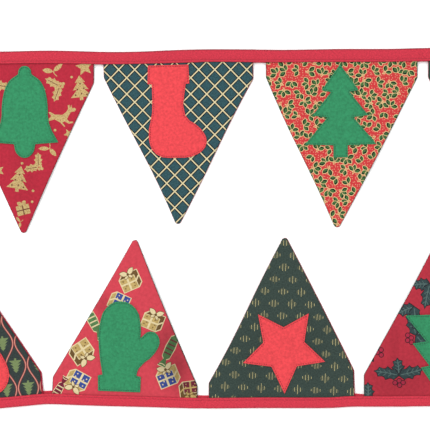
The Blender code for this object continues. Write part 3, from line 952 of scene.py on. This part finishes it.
# %% Gold figures
def gold_print(flag):
    inks = [cotton("gold_print_crimson", (190, 43, 63), 0.12, 1.5),
            cotton("gold_print_gold", (216, 189, 130), 0.14, 1.0, stipple=((174, 132, 76), 0.9, 0.35)),
            cotton("gold_print_mark", (112, 62, 50), 0.10)]
    deer = [([(15, 10), (14, 7), (10.5, 6), (9, 2), (8, -3), (11, -5), (15, -4), (15.5, -5.4), (11, -7.4),
              (6, -6), (4, -8), (8, -11), (6.8, -12), (1.6, -8.4), (-5, -6.6), (-9, -9), (-15, -12.6),
              (-18, -12.8), (-17.6, -11.4), (-12, -8.6), (-9.6, -4), (-13.5, -0.5), (-11, 0), (-6, -1.4),
              (2, 0.4), (5, 4), (6.4, 8), (5, 11.6), (6.6, 13), (8, 9.8), (8.8, 13.4), (10.2, 10),
              (13, 11)], 1)]
    bell = [(mirrored([(0, 11), (1.2, 9.4), (4, 7.4), (5.4, 2), (6.2, -4), (9, -8), (2.4, -8.6),
                       (1.4, -11), (0, -11.6)]), 1),
            (stripe([(-7.4, -5.6), (0, -6.4), (7.4, -5.6)], 0.8), 2)]
    cap = [([(-9, -6), (-7, 3), (-1, 9), (6, 9.6), (10.6, 5), (10, 1), (8, 4.4), (5, 4), (7.6, -5.6)], 1),
           (stripe([(-10, -9), (-1, -8.4), (8.4, -8.8)], 4.2), 1), (dot(2.2, 8, (10.4, -0.6)), 1)]
    holly = charted(([(holly_leaf(19, 10), 1), (stripe([(0, 2), (0, 9), (0, 16)], 0.7), 2)], 0, 0, turn, 1)
                    for turn in (-58, 40))
    holly += [(dot(2.0, 8, at), 1) for at in ((-1.8, -2.2), (2.2, -1.8), (0.4, -5))]
    tree = [(fir(23, 27, 3), 1)] + [(dot(0.95, 6, at), 2) for at in (
        (0, 18), (-3.4, 12), (3.6, 12.6), (-6, 6), (0.6, 7), (6.2, 5.6))]
    leaves = put([(leaf(11, 5), 1)], (0, 0), 62) + put([(leaf(12, 4.6), 1)], (0, 0), -70) + [
        (stripe([(0, 0), (0.5, -3), (2, -6)], 0.9), 1)]
    gift = [([(-8, -7), (8, -7), (8, 5), (-8, 5)], 1), (stripe([(0, -7), (0, -1), (0, 5)], 1.2), 2),
            (stripe([(-8, -1), (0, -1), (8, -1)], 1.2), 2)]
    gift += charted(([(leaf(7, 5), 1)], 0, 5, turn, 1) for turn in (50, -50))
    chart = (
        (leaves, 34, -8, 20, 1.1), ([(star(10.5), 1)], 68, -3, 10, 0.95), (holly, 41, -24, 120, 0.95),
        (tree, 65, -39, 6, 1.0), (deer, 42, -55, -14, 1.0), ([(star(6), 1)], 51, -76, 30, 1.0),
        (leaves, 30, -92, 160, 1.0), (holly, 18, -112, 60, 0.85), (tree, -6, -139, -10, 1.05),
        (gift, 1, -158, 14, 0.9), (leaves, -2, -172, 110, 0.6), ([(star(7), 1)], -26, -116, 20, 1.0),
        (holly, -34, -22, -40, 1.1), (bell, -62, -14, 14, 1.1), (cap, -52, -52, -12, 1.1),
        (deer, -8, -30, 10, 0.8))
    dots = ((54, -14), (24, -28), (60, -62), (-44, -6), (-72, -30), (-30, -82), (36, -72), (0, -108),
            (12, -138), (11, -150))
    return inks, charted(chart) + [(dot(1.5, 8, at), 1) for at in dots]


PRINTS["gold_print"] = gold_print
print("prints so far:", sorted(PRINTS))

# %% [markdown]
# ## The parcel print
#
# Ribboned boxes and paper crackers lie on scarlet, drawn for this lesson too. Each could be a drawing
# of its own, but two functions draw them, with the numbers of their inks as choices. So three
# kinds of box come from one drawing, and three of cracker from another.

# %% Parcels
def box_drawing(face, shade, ribbon, specks):
    """A box seen from a little above: front, side and lid, with a ribbon and a bow."""
    left, right, floor, top, back_x, back_y = -10, 7, -11, 3, 4.5, 4
    front = [(left, floor), (right, floor), (right, top), (left, top)]
    side = [(right, floor), (right + back_x, floor + back_y), (right + back_x, top + back_y), (right, top)]
    lid = [(left, top), (right, top), (right + back_x, top + back_y), (left + back_x, top + back_y)]
    drawing = [(grown(front[:2] + side[1:3] + lid[3:] + lid[:1], 1.2), 1),
               (front, face), (side, shade), (lid, shade)]
    drawing += [(stripe([a, ((a[0] + b[0]) / 2, (a[1] + b[1]) / 2), b], 0.7), 1)
                for a, b in ((lid[0], lid[1]), (side[0], side[3]))]
    drawing += [(dot(0.8, 6, at), specks) for at in (
        (-7, 0.4), (-7.4, -7.6), (2.6, 0), (3.4, -8.4), (-5, -5.2), (4.2, -5))]
    drawing += [(stripe(path, wide), ribbon) for path, wide in (
        ([(-1.8, -11), (-1.6, -4), (-1.5, 3)], 2.2), ([(-1.5, 3), (0.7, 5), (3, 7)], 2.0),
        ([(-10, -3.4), (-2, -3.4), (7, -3.4)], 1.8), ([(7, -3.4), (9, -1.6), (11.5, 0.6)], 1.6))]
    for turn, length, width in ((128, 6, 2.6), (-140, 6, 2.6), (62, 9.4, 5), (-56, 9.4, 5)):
        blade = leaf(length, width)
        drawing += put([(grown(blade, 0.7), 3), (blade, ribbon)], (1, 5.6), turn)
    return drawing + [(dot(1.5, 8, (1, 5.8)), 3)]


def cracker(face, shade):
    """A paper cracker: a roll, pinched twice, with flared ends."""
    half = [(-22, 4.6), (-19, 3.6), (-13.6, 1.5), (-11, 4.2), (0, 4.8), (11, 4.2), (13.6, 1.5), (19, 3.6),
            (22, 4.6)]
    body = half + [(x, -y) for x, y in reversed(half)]
    bands = [(stripe([(x, 4.2), (x, 0), (x, -4.2)], 1.4), shade) for x in (-8, -3, 2, 7)]
    ends = [(stripe([(way * 20.4, 3.4), (way * 19.6, 0), (way * 20.4, -3.4)], 1.0), 1) for way in (-1, 1)]
    return [(grown(body, 1.0), 1), (body, face)] + bands + ends


def parcel_print(flag):
    inks = [cotton(f"parcel_{name}", *how) for name, *how in (
        ("scarlet", (216, 70, 84), 0.10, 1.8), ("cream", (234, 216, 168), 0.08),
        ("ochre", (196, 168, 104), 0.20), ("brown", (112, 84, 46), 0.20),
        ("blue", (62, 80, 152), 0.20, 1.6), ("green", (88, 128, 78), 0.20, 1.6),
        ("wine", (118, 40, 58), 0.15))]
    plain, checked, wine = box_drawing(2, 3, 1, 3), box_drawing(4, 2, 1, 1), box_drawing(6, 3, 2, 2)
    return inks, charted((
        (plain, -5, -126, 204, 1.0), (checked, 52, -14, -28, 1.05), (plain, 45, -46, 34, 1.1),
        (checked, -46, -22, 202, 1.05), (cracker(5, 6), -50, -52, 64, 1.0), (wine, -71, -5, 8, 0.9),
        (cracker(5, 1), 35, -82, 116, 1.0), (checked, 6, -100, -24, 0.95),
        (cracker(6, 1), 73, -4, 60, 0.8), (plain, -31, -83, 158, 1.0), (wine, 15, -148, 50, 0.6)))


PRINTS["parcel"] = parcel_print
print("all the prints:", sorted(PRINTS))

# %% [markdown]
# ## Sewing the flags
#
# Front and lining were sewn right sides together and turned, so their edges are thin, soft rolls:
# the front rolls down to the seam and the lining rolls up to it. A bevel would round both alike, so
# the heights come from a rule of the distance to the edge. The lining is a hair wider, as in the
# frame, and shows as a thin line of its own colour. The folded-in seam allowance makes the cloth a
# little thicker near the edge, which catches the light as a faint ridge. The front is painted darker
# along its seam line, as painted shade of the rolled edge, and in a few broad soft places, as painted
# shade of soft folds.

# %% Fronts and linings
PLY, LAYER_GAP = 1.0, 0.3         # mm: one layer of cloth, and the space between front and lining
ROLL, SEAM_RISE = 1.7, 0.25       # mm over which an edge rolls, and that the lining rises there
# painted shade along the seam line where the edge rolls away: how much darker, and how wide in mm
SEAM_PAINTED_SHADE, SEAM_WIDTH = 0.30, 0.9
RIDGE, RIDGE_AT, RIDGE_WIDTH = 0.22, 4.2, 2.2
EDGE_RINGS = (0.18, 0.5, 1.0, 1.7)
PAINTED_SHADES = {                         # painted shade of soft folds: middle and reach of each darker place in mm, and how much darker
    "parcel": ((-27.0, -132.0, 17, 37, 0.38), (-12.0, -158.0, 15, 22, 0.22), (-102.7, -77.2, 9, 10, 0.20)),
    "holly": ((219.8, -160.8, 34, 20, 0.14), (216.8, -123.5, 6, 24, 0.12)),
    "lozenge": ((70.0, -140.0, 30, 44, 0.08), (128.0, -130.0, 18, 34, 0.08)),
    "gold_print": ((-186.0, 60.0, 14, 50, 0.08),),
}


def rolled(distance):
    """How far a rolled edge lies below the face, a quarter of an ellipse."""
    return PLY * (1 - np.sqrt(1 - np.clip(1 - distance / ROLL, 0, 1) ** 2))


def painted_shades_of(name):
    """How much painted shade a flag's front has at points: broad soft places of painted fold shade, and
    painted shade along the line of its seam.
    """
    def at(points, distance):
        total = SEAM_PAINTED_SHADE * np.clip(1 - distance / SEAM_WIDTH, 0, 1)
        for x, y, reach_x, reach_y, amount in PAINTED_SHADES.get(name, ()):
            away = ((points[:, 0] - x) / reach_x) ** 2 + ((points[:, 1] - y) / reach_y) ** 2
            total = total + amount * np.exp(-away ** 2)
        return total
    return at


def front_faces(drape):
    """The heights of a front's upper and lower face."""
    ridge = lambda d: RIDGE * np.exp(-((d - RIDGE_AT) / RIDGE_WIDTH) ** 2)
    return (lambda p, d: height_at(drape, p) - rolled(d) + ridge(d),
            lambda p, d: height_at(drape, p) - PLY)


def back_faces(drape):
    """The heights of a lining's upper and lower face; the lower one stays above the table."""
    under = lambda p: height_at(drape, p) - PLY - LAYER_GAP
    return (lambda p, d: under(p) + SEAM_RISE * np.clip(1 - d / ROLL, 0, 1),
            lambda p, d: np.where(d == 0, under(p) + SEAM_RISE,
                                  np.maximum(0.02, under(p) - PLY) + rolled(d)))


made = {}
for flag in FLAGS:
    drape, front, back = DRAPES[flag.name], f"{flag.name}_front", f"{flag.name}_back"
    inks, figures = PRINTS[flag.name](flag)
    figures = [(laid(flag, loop), ink) for loop, ink in figures]
    made[front] = cut_sheet(f"{front}_cloth", OUTLINES[front], front_faces(drape), inks, EDGE_RINGS,
                            figures, cloth=flag, tone_of=painted_shades_of(flag.name))
    made[back] = cut_sheet(f"{back}_cloth", OUTLINES[back], back_faces(drape), [LININGS[flag.lining]],
                           (0.5, 1.7), fine=6.0, coarse=5.0, cloth=flag)

# %% [markdown]
# ## Felt shapes
#
# The felt is cut, not turned, so its edge stands upright with a worn upper corner. The line of
# stitches near the edge pulls it down into a shallow channel, and each stitch bites the edge in
# a little. A bump could show both, but they are large enough to change the outline and to
# catch the light from the side, so they are in the mesh.

# %% Felt shapes
FELT_THICKNESS, FELT_LIFT = 1.25, 0.05
STITCH_INSET = 1.6
CHANNEL, CHANNEL_WIDTH = 0.45, 0.75
WEAR, WEAR_WIDTH = 0.35, 0.4
BITE = 0.28                       # mm that each stitch draws the edge in
FELT_RINGS = (WEAR_WIDTH, 1.0, STITCH_INSET, 2.6)
FELT_STITCH = dict(pitch=2.6, length=1.9, thickness=0.8)


def bitten(loop, pitch, depth):
    """The loop with its edge drawn in a little at every stitch."""
    fine = np.asarray(stepped(loop, pitch / 3), float)
    ahead = unit(np.roll(fine, -1, axis=0) - np.roll(fine, 1, axis=0))
    fine[::3] += depth * turned_left(ahead)[::3]
    return [tuple(p) for p in fine]


def felt_faces(drape):
    """The heights of a felt shape's upper and lower face."""
    channel = lambda d: CHANNEL * np.exp(-((d - STITCH_INSET) / CHANNEL_WIDTH) ** 2)
    wear = lambda d: WEAR * np.clip(1 - d / WEAR_WIDTH, 0, 1) ** 2
    return (lambda p, d: height_at(drape, p) + FELT_LIFT + FELT_THICKNESS - channel(d) - wear(d),
            lambda p, d: height_at(drape, p) + FELT_LIFT)


for flag in FLAGS:
    node = f"{flag.name}_felt"
    made[node] = cut_sheet(
        f"{node}_shape", bitten(OUTLINES[node], FELT_STITCH["pitch"], BITE),
        felt_faces(DRAPES[flag.name]), [FELTS[flag.felt]], FELT_RINGS, fine=2.4, upright=True)

# %% [markdown]
# ## The binding's route
#
# Bias binding is a strip cut at 45 degrees to the threads, so that it can follow a curve. A curve
# object with a bevel would sweep one section along it, but this section changes on its way. So the
# route is a list of stations. The two rows go through places across the photograph, joined by
# a smooth curve, and a half ellipse joins them where the string turns back. Each station also says
# which way the flags are, how wide the strip is, and how far its legs stand apart: far where a flag
# lies in it, and almost closed where it is empty.

# %% The binding's route
Place = namedtuple("Place", "x y width")
Station = namedtuple("Station", "x y inward width slot")
ROUTES = {1: [Place(*row) for row in (
    (-338.7, 189.6, 14.5), (-213.4, 189.5, 14.3), (-158.9, 190.2, 14.9), (-93.5, 189.1, 14.3),
    (-60.8, 189.5, 14.3), (-17.2, 190.9, 15.1), (15.6, 191.8, 14.7), (64.6, 191.5, 14.9),
    (95.0, 191.3, 14.4), (157.3, 191.9, 15.1), (211.8, 192.1, 14.9), (255.4, 193.0, 15.2),
    (331.7, 192.7, 14.9), (418.9, 192.3, 14.5), (475.0, 191.8, 14.5),
)], -1: [Place(*row) for row in (
    (-338.7, -193.8, 14.4), (-278.8, -191.2, 13.8), (-213.4, -185.8, 13.7), (-186.1, -183.2, 13.9),
    (-162.1, -180.6, 15.0), (-131.6, -181.4, 15.1), (-104.4, -182.4, 15.0), (-60.8, -183.8, 14.4),
    (4.7, -185.4, 14.6), (70.0, -185.4, 13.8), (146.4, -185.1, 14.2), (168.2, -183.3, 15.2),
    (184.5, -183.8, 14.0), (222.7, -183.8, 13.9), (255.4, -183.5, 13.7), (342.6, -184.3, 13.9),
    (440.7, -184.8, 14.1), (475.0, -184.6, 14.1),
)]}
TURN_DEPTH, TURN_STEPS = 130.0, 150
STEP = 3.0
OPEN_SLOT, HALF_SLOT, CLOSED_SLOT = 2.9, 1.6, 0.3
EASE, HALF_EASE = 12.0, 4.0       # mm in which the legs close beyond the flags, and between two flags
SPARE = 1.2                       # mm on each side of a flag


def smooth_step(value):
    t = min(1.0, max(0.0, value))
    return t * t * (3 - 2 * t)


def route_at(route, x):
    """(y, width) of a row's binding at x, on a smooth curve through the places."""
    k = max(i for i in range(len(route) - 1) if route[i].x <= x or i == 0)
    before, a, b, after = (np.array(route[min(max(n, 0), len(route) - 1)]) for n in range(k - 1, k + 3))
    span = b[0] - a[0]
    t = (x - a[0]) / span
    slope_a, slope_b = (b - before) / (b[0] - before[0]) * span, (after - a) / (after[0] - a[0]) * span
    found = ((2 * t**3 - 3 * t**2 + 1) * a + (t**3 - 2 * t**2 + t) * slope_a
             + (3 * t**2 - 2 * t**3) * b + (t**3 - t**2) * slope_b)
    return found[1], found[2]


def flag_spans(row):
    """From where to where along a row its flags lie in the binding."""
    boxes = [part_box(f"{flag.name}_back") for flag in FLAGS if flag.row == row]
    return sorted((low.x / MM - SPARE, high.x / MM + SPARE) for low, high in boxes)


SPANS = {row: flag_spans(row) for row in ROUTES}


def slot_at(row, x):
    """How far the binding's legs stand apart at x."""
    spans = SPANS[row]
    away = min(max(left - x, x - right, 0) for left, right in spans)
    if spans[0][0] < x < spans[-1][1]:
        return OPEN_SLOT + (HALF_SLOT - OPEN_SLOT) * smooth_step(away / HALF_EASE)
    return OPEN_SLOT + (CLOSED_SLOT - OPEN_SLOT) * smooth_step(away / EASE)


def row_stations(row):
    """The stations of a row, from left to right."""
    start, end = ROUTES[row][0].x, ROUTES[row][-1].x
    count = round((end - start) / STEP)
    places = [start + (end - start) * k / count for k in range(count + 1)]
    routes = [route_at(ROUTES[row], x) for x in places]
    return [Station(x, y, (0.0, -row), width, slot_at(row, x)) for x, (y, width) in zip(places, routes)]


def turn_stations(top, bottom):
    """The half ellipse between the first stations of the two rows."""
    middle, half = (top.y + bottom.y) / 2, (top.y - bottom.y) / 2
    found = []
    for k in range(1, TURN_STEPS):
        angle = math.pi * k / TURN_STEPS
        inward = Vector((math.sin(angle) / TURN_DEPTH, -math.cos(angle) / half)).normalized()
        found.append(Station(top.x - TURN_DEPTH * math.sin(angle), middle + half * math.cos(angle),
                             tuple(inward), top.width + (bottom.width - top.width) * k / TURN_STEPS,
                             CLOSED_SLOT))
    return found


upper, lower = row_stations(1), row_stations(-1)
STATIONS = upper[::-1] + turn_stations(upper[0], lower[0]) + lower
run = [0.0]
for a, b in zip(STATIONS, STATIONS[1:]):
    run.append(run[-1] + math.dist(a[:2], b[:2]))
print("the binding is", round(run[-1]), "mm long in", len(STATIONS), "stations")

# %% [markdown]
# ## The folded strip
#
# The strip is folded in half along its length over the flags' top edges. At every station a closed
# outline of it is set across the route: the back leg on the table, the fold, the front leg with its
# line of stitches and its open edge, and back through the slot that the flags lie in. Joining the
# outlines gives the strip. `legs_at` gives the reach of the two legs, because on the lower row the
# front one is shorter and shows the back one between the flags. Painted shade darkens the fold's
# shaded side, the rounded open edge and the stitch line, and the whole upper row a little; at both
# ends of the string the hem makes the strip thicker.

# %% The folded strip
TOPSTITCH = 2.7                   # mm from the open edge
# the stitch line's dip in mm, and the painted shade in it
STITCH_DIP, STITCH_PAINTED_SHADE = 0.24, 0.10
FOLD_PAINTED_SHADES = (0.8, 0.3)           # painted shade along the fold of the upper row and of the lower row
ROW_PAINTED_SHADE = 0.06                   # painted shade: the whole upper row is painted this much darker than the lower one
# painted shade along the rounded open edge
EDGE_PAINTED_SHADE = 0.35
SNUG = 0.6                        # mm that the sewn strip is narrower than its route
LOWER_FRONT = 12.0                # mm: on the lower row the front leg is the shorter one
HEM, HEM_RISE = 6.0, 0.4          # the turned-in ends


def legs_at(station):
    """How far the back and the front leg reach from the fold, and how far down the string we are."""
    lower = smooth_step((1 + station.inward[1]) / 2)
    back = station.width - SNUG
    return back, back + (min(back, LOWER_FRONT) - back) * lower, lower


def strip_outline(station, place):
    """The closed outline of the folded strip from its foot: (distance from the fold, height, painted
    shade).
    """
    back, front, lower = legs_at(station)
    outer, inner = station.slot / 2 + PLY, station.slot / 2
    top, seam = 2 * outer, front - TOPSTITCH
    fold_painted_shade = FOLD_PAINTED_SHADES[0] + (FOLD_PAINTED_SHADES[1] - FOLD_PAINTED_SHADES[0]) * lower
    hem = HEM_RISE * (1 - smooth_step((min(place, run[-1] - place) - HEM) / 1.5))
    edge = front + 0.16 * noise.noise((place / 9, 1.7, 0)) + 0.10 * noise.noise((place / 3.1, 4.2, 0))
    crown = hem + 0.34 + 0.34 * noise.noise((place / 22, 8.1, 0))
    flat = [outer + (seam - 1 - outer) * s for s in (0.33, 0.66, 1.0)]
    points = [(back - 0.3, 0, 0), (seam + 0.9, 0, 0), (seam, STITCH_DIP, STITCH_PAINTED_SHADE)]
    points += [(x, 0, 0) for x in reversed(flat)]
    points += [(outer - outer * math.cos(a), outer + outer * math.sin(a),
                fold_painted_shade * max(0, math.cos(a)) ** 1.5) for a in np.radians(range(-90, 91, 15))]
    points += [(outer + (seam - outer) * s, top + crown * math.sin(math.pi * s), 0)
               for s in (0.15, 0.32, 0.5, 0.66, 0.84)]
    points += [(seam - 0.8, top - 0.04, 0), (seam, top - STITCH_DIP, STITCH_PAINTED_SHADE),
               (seam + 0.9, top - 0.06, 0), (edge - 0.7, top + 0.02, 0),
               (edge - 0.15, top - 0.18, EDGE_PAINTED_SHADE), (edge, top - 0.5, EDGE_PAINTED_SHADE),
               (edge - 0.25, top - 0.92, EDGE_PAINTED_SHADE), (edge - 0.8, top - PLY, 0)]
    points += [(x, top - PLY, 0) for x in reversed(flat)]
    points += [(outer - inner * math.cos(a), outer + inner * math.sin(a), 0)
               for a in np.radians((90, 45, 0, -45, -90))]
    return points + [(x, PLY, 0) for x in flat] + [(back - 0.25, PLY, 0), (back, PLY / 2, 0)]


def strip_point(station, across, height):
    """A point of the strip, from its distance from the fold and its height in mm."""
    x, y, (inward_x, inward_y), width, _ = station
    offset = across - width / 2
    return Vector((x + inward_x * offset, y + inward_y * offset, height)) * MM


def sew_binding():
    bm = bmesh.new()
    strip_map = bm.loops.layers.uv.new("cut")
    tone = bm.verts.layers.float.new("tone")
    rings = []
    for station, place in zip(STATIONS, run):
        # painted shade over the upper row
        row_painted_shade = ROW_PAINTED_SHADE * (1 - legs_at(station)[2])
        rings.append([])
        for across, height, darker in strip_outline(station, place):
            vert = bm.verts.new(strip_point(station, across, height))
            vert[tone] = darker + row_painted_shade
            rings[-1].append(vert)
    around = [0.0]
    outline = strip_outline(STATIONS[0], run[-1] / 2)
    for a, b in zip(outline, outline[1:] + outline[:1]):
        around.append(around[-1] + math.dist(a[:2], b[:2]))
    for i, (a, b) in enumerate(zip(rings, rings[1:])):
        for j in range(len(a)):
            k = (j + 1) % len(a)
            face = bm.faces.new((a[j], a[k], b[k], b[j]))
            for corner, (u, v) in zip(face.loops, ((i, j), (i, j + 1), (i + 1, j + 1), (i + 1, j))):
                corner[strip_map].uv = (run[u] * MM, around[v] * MM)
    for ring in (rings[0][::-1], rings[-1]):
        for corner in bm.faces.new(ring).loops:
            corner[strip_map].uv = corner.vert.co.yz
    bmesh.ops.triangulate(bm, faces=[f for f in bm.faces if len(f.verts) > 4])
    bmesh.ops.recalc_face_normals(bm, faces=bm.faces[:])
    print("binding:", len(bm.faces), "faces")
    bias = cotton("binding_cotton", (219, 59, 78), 0.24, 0.8, turn=math.radians(45))
    return as_piece("folded_binding", bm, [bias], 75)


made["binding"] = sew_binding()

# %% [markdown]
# ## Stitches
#
# A line of straight stitches repeats one small thing along a path, which is what Geometry Nodes are
# for. The tree takes a path, divides it at the stitch pitch, sets a small pill of thread at each
# point in the direction of the path, and makes it all real, with its thread as material. Pitch,
# length and thickness are inputs, and the seed of the slight unevenness is fixed. The evaluated
# result is kept as a plain mesh, and the path with its modifier is removed.

# %% The stitch maker
def stitch_tree():
    tree = bpy.data.node_groups.new("stitch_maker", "GeometryNodeTree")
    sockets = {}
    for name, kind in (("Geometry", "Geometry"), ("Pitch", "Float"), ("Length", "Float"),
                       ("Thickness", "Float"), ("Seed", "Int"), ("Thread", "Material")):
        sockets[name] = tree.interface.new_socket(
            name, in_out="INPUT", socket_type=f"NodeSocket{kind}").identifier
    tree.interface.new_socket("Geometry", in_out="OUTPUT", socket_type="NodeSocketGeometry")
    given = tree.nodes.new("NodeGroupInput").outputs
    points = wire(tree, "GeometryNodeResampleCurve", {
        "Curve": given["Geometry"], "Length": given["Pitch"]}, mode="LENGTH")
    along = wire(tree, "GeometryNodeInputTangent")
    turn = wire(tree, "FunctionNodeAlignRotationToVector", {"Vector": along.outputs["Tangent"]}, axis="X")
    uneven = wire(tree, "FunctionNodeRandomValue", {
        2: 0.88, 3: 1.1, "Seed": given["Seed"]}, data_type="FLOAT")
    pill = wire(tree, "GeometryNodeMeshUVSphere", {"Segments": 6, "Rings": 4, "Radius": 0.5})
    size = wire(tree, "ShaderNodeCombineXYZ", {
        "X": given["Length"], "Y": given["Thickness"], "Z": given["Thickness"]})
    shaped = wire(tree, "GeometryNodeTransform", {
        "Geometry": pill.outputs["Mesh"], "Scale": size.outputs["Vector"]})
    sewn = wire(tree, "GeometryNodeInstanceOnPoints", {
        "Points": points.outputs["Curve"], "Instance": shaped.outputs["Geometry"],
        "Rotation": turn.outputs["Rotation"], "Scale": uneven.outputs[1]})
    real = wire(tree, "GeometryNodeRealizeInstances", {"Geometry": sewn.outputs["Instances"]})
    wound = wire(tree, "GeometryNodeSetMaterial", {
        "Geometry": real.outputs["Geometry"], "Material": given["Thread"]})
    wire(tree, "NodeGroupOutput", {"Geometry": wound.outputs["Geometry"]})
    return tree, sockets


STITCH_TREE, STITCH_SOCKETS = stitch_tree()


def stitches(name, paths, closed, pitch, length, thickness, thread, seed):
    """Straight stitches along paths of points in millimetres, as a plain mesh."""
    curve = bpy.data.curves.new(f"{name}_path", "CURVE")
    curve.dimensions = "3D"
    for path in paths:
        line = curve.splines.new("POLY")
        line.points.add(len(path) - 1)
        line.use_cyclic_u = closed
        for point, (x, y, z) in zip(line.points, path):
            point.co = (x * MM, y * MM, z * MM, 1)
    drawn = linked(f"{name}_path", curve)
    maker = drawn.modifiers.new("stitches", "NODES")
    maker.node_group = STITCH_TREE
    for key, value in (("Pitch", pitch * MM), ("Length", length * MM), ("Thickness", thickness * MM),
                       ("Seed", seed), ("Thread", thread)):
        maker[STITCH_SOCKETS[key]] = value
    bpy.context.view_layer.update()
    graph = bpy.context.evaluated_depsgraph_get()
    mesh = bpy.data.meshes.new_from_object(drawn.evaluated_get(graph), depsgraph=graph)
    bpy.data.objects.remove(drawn)
    mesh.name = name
    mesh.shade_smooth()
    print(name, len(mesh.polygons), "faces")
    return linked(name, mesh)


print("the stitch maker has", len(STITCH_TREE.nodes), "nodes")

# %% [markdown]
# ## Thread
#
# Sewing thread is two plies twisted together, so it is striped across its length, and it shines
# more than cotton cloth. A slanting wave of a third of a millimetre gives the twist as a bump, and
# paints the stripes into its colour as painted shade and painted highlight. The felt's thread matches
# the felt and is painted darker, as painted shade where it lies in the channel.

# %% Thread
def thread(name, colour):
    material, tree = blank(name)
    place = wire(tree, "ShaderNodeTexCoord").outputs["Object"]
    plies = wire(tree, "ShaderNodeTexWave", {"Vector": place, "Scale": WAVE_REACH / (0.35 * MM)},
                 wave_type="BANDS", bands_direction="DIAGONAL").outputs["Fac"]
    # painted shade and painted highlight: the colour darker and lighter with the twist's wave
    dark, light = (tinted(screen_colour(*colour), factor) for factor in (0.8, 1.15))
    coat(tree, mixed(tree, plies, dark, light), plies, strength=0.4, depth=0.05 * MM, roughness=0.6)
    return material


# the felts' threads are painted darker than their felts, as painted shade in the channel
THREADS = {"red_felt": thread("red_thread", (150, 26, 40)),
           "green_felt": thread("green_thread", (22, 84, 57)),
           "binding": thread("binding_thread", (160, 32, 52))}
print("threads:", sorted(THREADS))

# %% [markdown]
# ## Sewing on the felt shapes
#
# One line of stitches runs round each felt shape, in the channel that was left for it. The stitches
# could be a bump, but real ones show as small raised pills from the side. Their line is the inset
# of the cut line, and their height is the felt's own.

# %% Sewing on the felt shapes
THREAD_RISE = 0.08                # mm of the thread's middle above the felt
threads = {}
for number, flag in enumerate(FLAGS):
    node = f"{flag.name}_felt"
    line = inset(OUTLINES[node], STITCH_INSET)
    above, _ = felt_faces(DRAPES[flag.name])
    heights = above(np.array(line), np.full(len(line), STITCH_INSET)) + THREAD_RISE
    threads[node] = stitches(f"{node}_stitches", [[(*p, z) for p, z in zip(line, heights)]], True,
                             thread=THREADS[flag.felt], seed=number, **FELT_STITCH)

# %% [markdown]
# ## Sewing the binding
#
# One line of stitches near the open edge holds binding, front and lining together, and shows on both
# sides of the string. A short line across each end holds the hem. All four are paths over the
# stations, so they follow every turn of the strip.

# %% Sewing the binding
SUNK, UNDER_HEIGHT = 0.20, 0.28   # mm below the upper face, and above the table on the under side
HEM_LIFT, HEM_CROWN = 0.3, 0.4    # mm that the hem's line lies above the flat strip


def binding_line(height_of):
    """A path along the whole strip, except its very ends."""
    return [tuple(strip_point(s, legs_at(s)[1] - TOPSTITCH, height_of(s)) / MM) for s in STATIONS[1:-1]]


def hem_line(station):
    """A path across the strip where its end is turned in."""
    top, front = station.slot + 2 * PLY, legs_at(station)[1]
    return [tuple(strip_point(station, front * s, top + HEM_LIFT + HEM_CROWN * math.sin(math.pi * s)) / MM)
            for s in (0.14, 0.3, 0.5, 0.7, 0.84)]


threads["binding"] = stitches(
    "binding_stitches",
    [binding_line(lambda s: s.slot + 2 * PLY - SUNK), binding_line(lambda s: UNDER_HEIGHT),
     hem_line(STATIONS[2]), hem_line(STATIONS[-3])], False,
    pitch=2.9, length=2.3, thickness=0.48, thread=THREADS["binding"], seed=40)

# %% [markdown]
# ## The table top
#
# The table is a plain white sheet a hair below the cloth. It isn't part of the object, so it is
# marked as stage. Even white paint has a faint tooth, which a fine noise in its roughness gives.

# %% The table top
TABLE_HALF, TABLE_DROP = 3.0, 0.2 * MM
table_mesh = bpy.data.meshes.new("table_top")
table_mesh.from_pydata([(x * TABLE_HALF, y * TABLE_HALF, -TABLE_DROP) for x, y in (
    (-1, -1), (1, -1), (1, 1), (-1, 1))], [], [(0, 1, 2, 3)])
table_top = linked("table_top", table_mesh)
white, tree = blank("white_paint")
paint = tree.nodes["Principled BSDF"].inputs
paint["Base Color"].default_value = (1, 1, 1, 1)
paint["Specular IOR Level"].default_value = 0.1
tooth = wire(tree, "ShaderNodeTexNoise", {
    "Vector": wire(tree, "ShaderNodeTexCoord").outputs["Object"], "Scale": 300.0})
dull = wire(tree, "ShaderNodeMapRange", {"Value": tooth.outputs["Fac"], "To Min": 0.85, "To Max": 1.0})
tree.links.new(dull.outputs["Result"], paint["Roughness"])
table_mesh.materials.append(white)
table_top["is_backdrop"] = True
print("the table top is", 2 * TABLE_HALF, "m wide")

# %% [markdown]
# ## Handing the pieces to the frame
#
# Every piece rides on the frame's one body and hides the solid that it stands for. The stitches go
# with the piece they hold.


def declare(node):
    """Rides and replaces a piece, and takes its stitches along."""
    piece = made[node]
    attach(piece, BODY)
    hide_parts(node)
    sewn = [threads[node]] if node in threads else []
    for line in sewn:
        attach(line, BODY)
    if node == "binding":
        return


for flag in FLAGS:
    declare(f"{flag.name}_back")
    declare(f"{flag.name}_front")
    declare(f"{flag.name}_felt")
declare("binding")

dressed_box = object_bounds()
for name, box in (("frame", cad_box), ("dressed", dressed_box)):
    print(name, [[round(v / MM, 1) for v in corner] for corner in box])
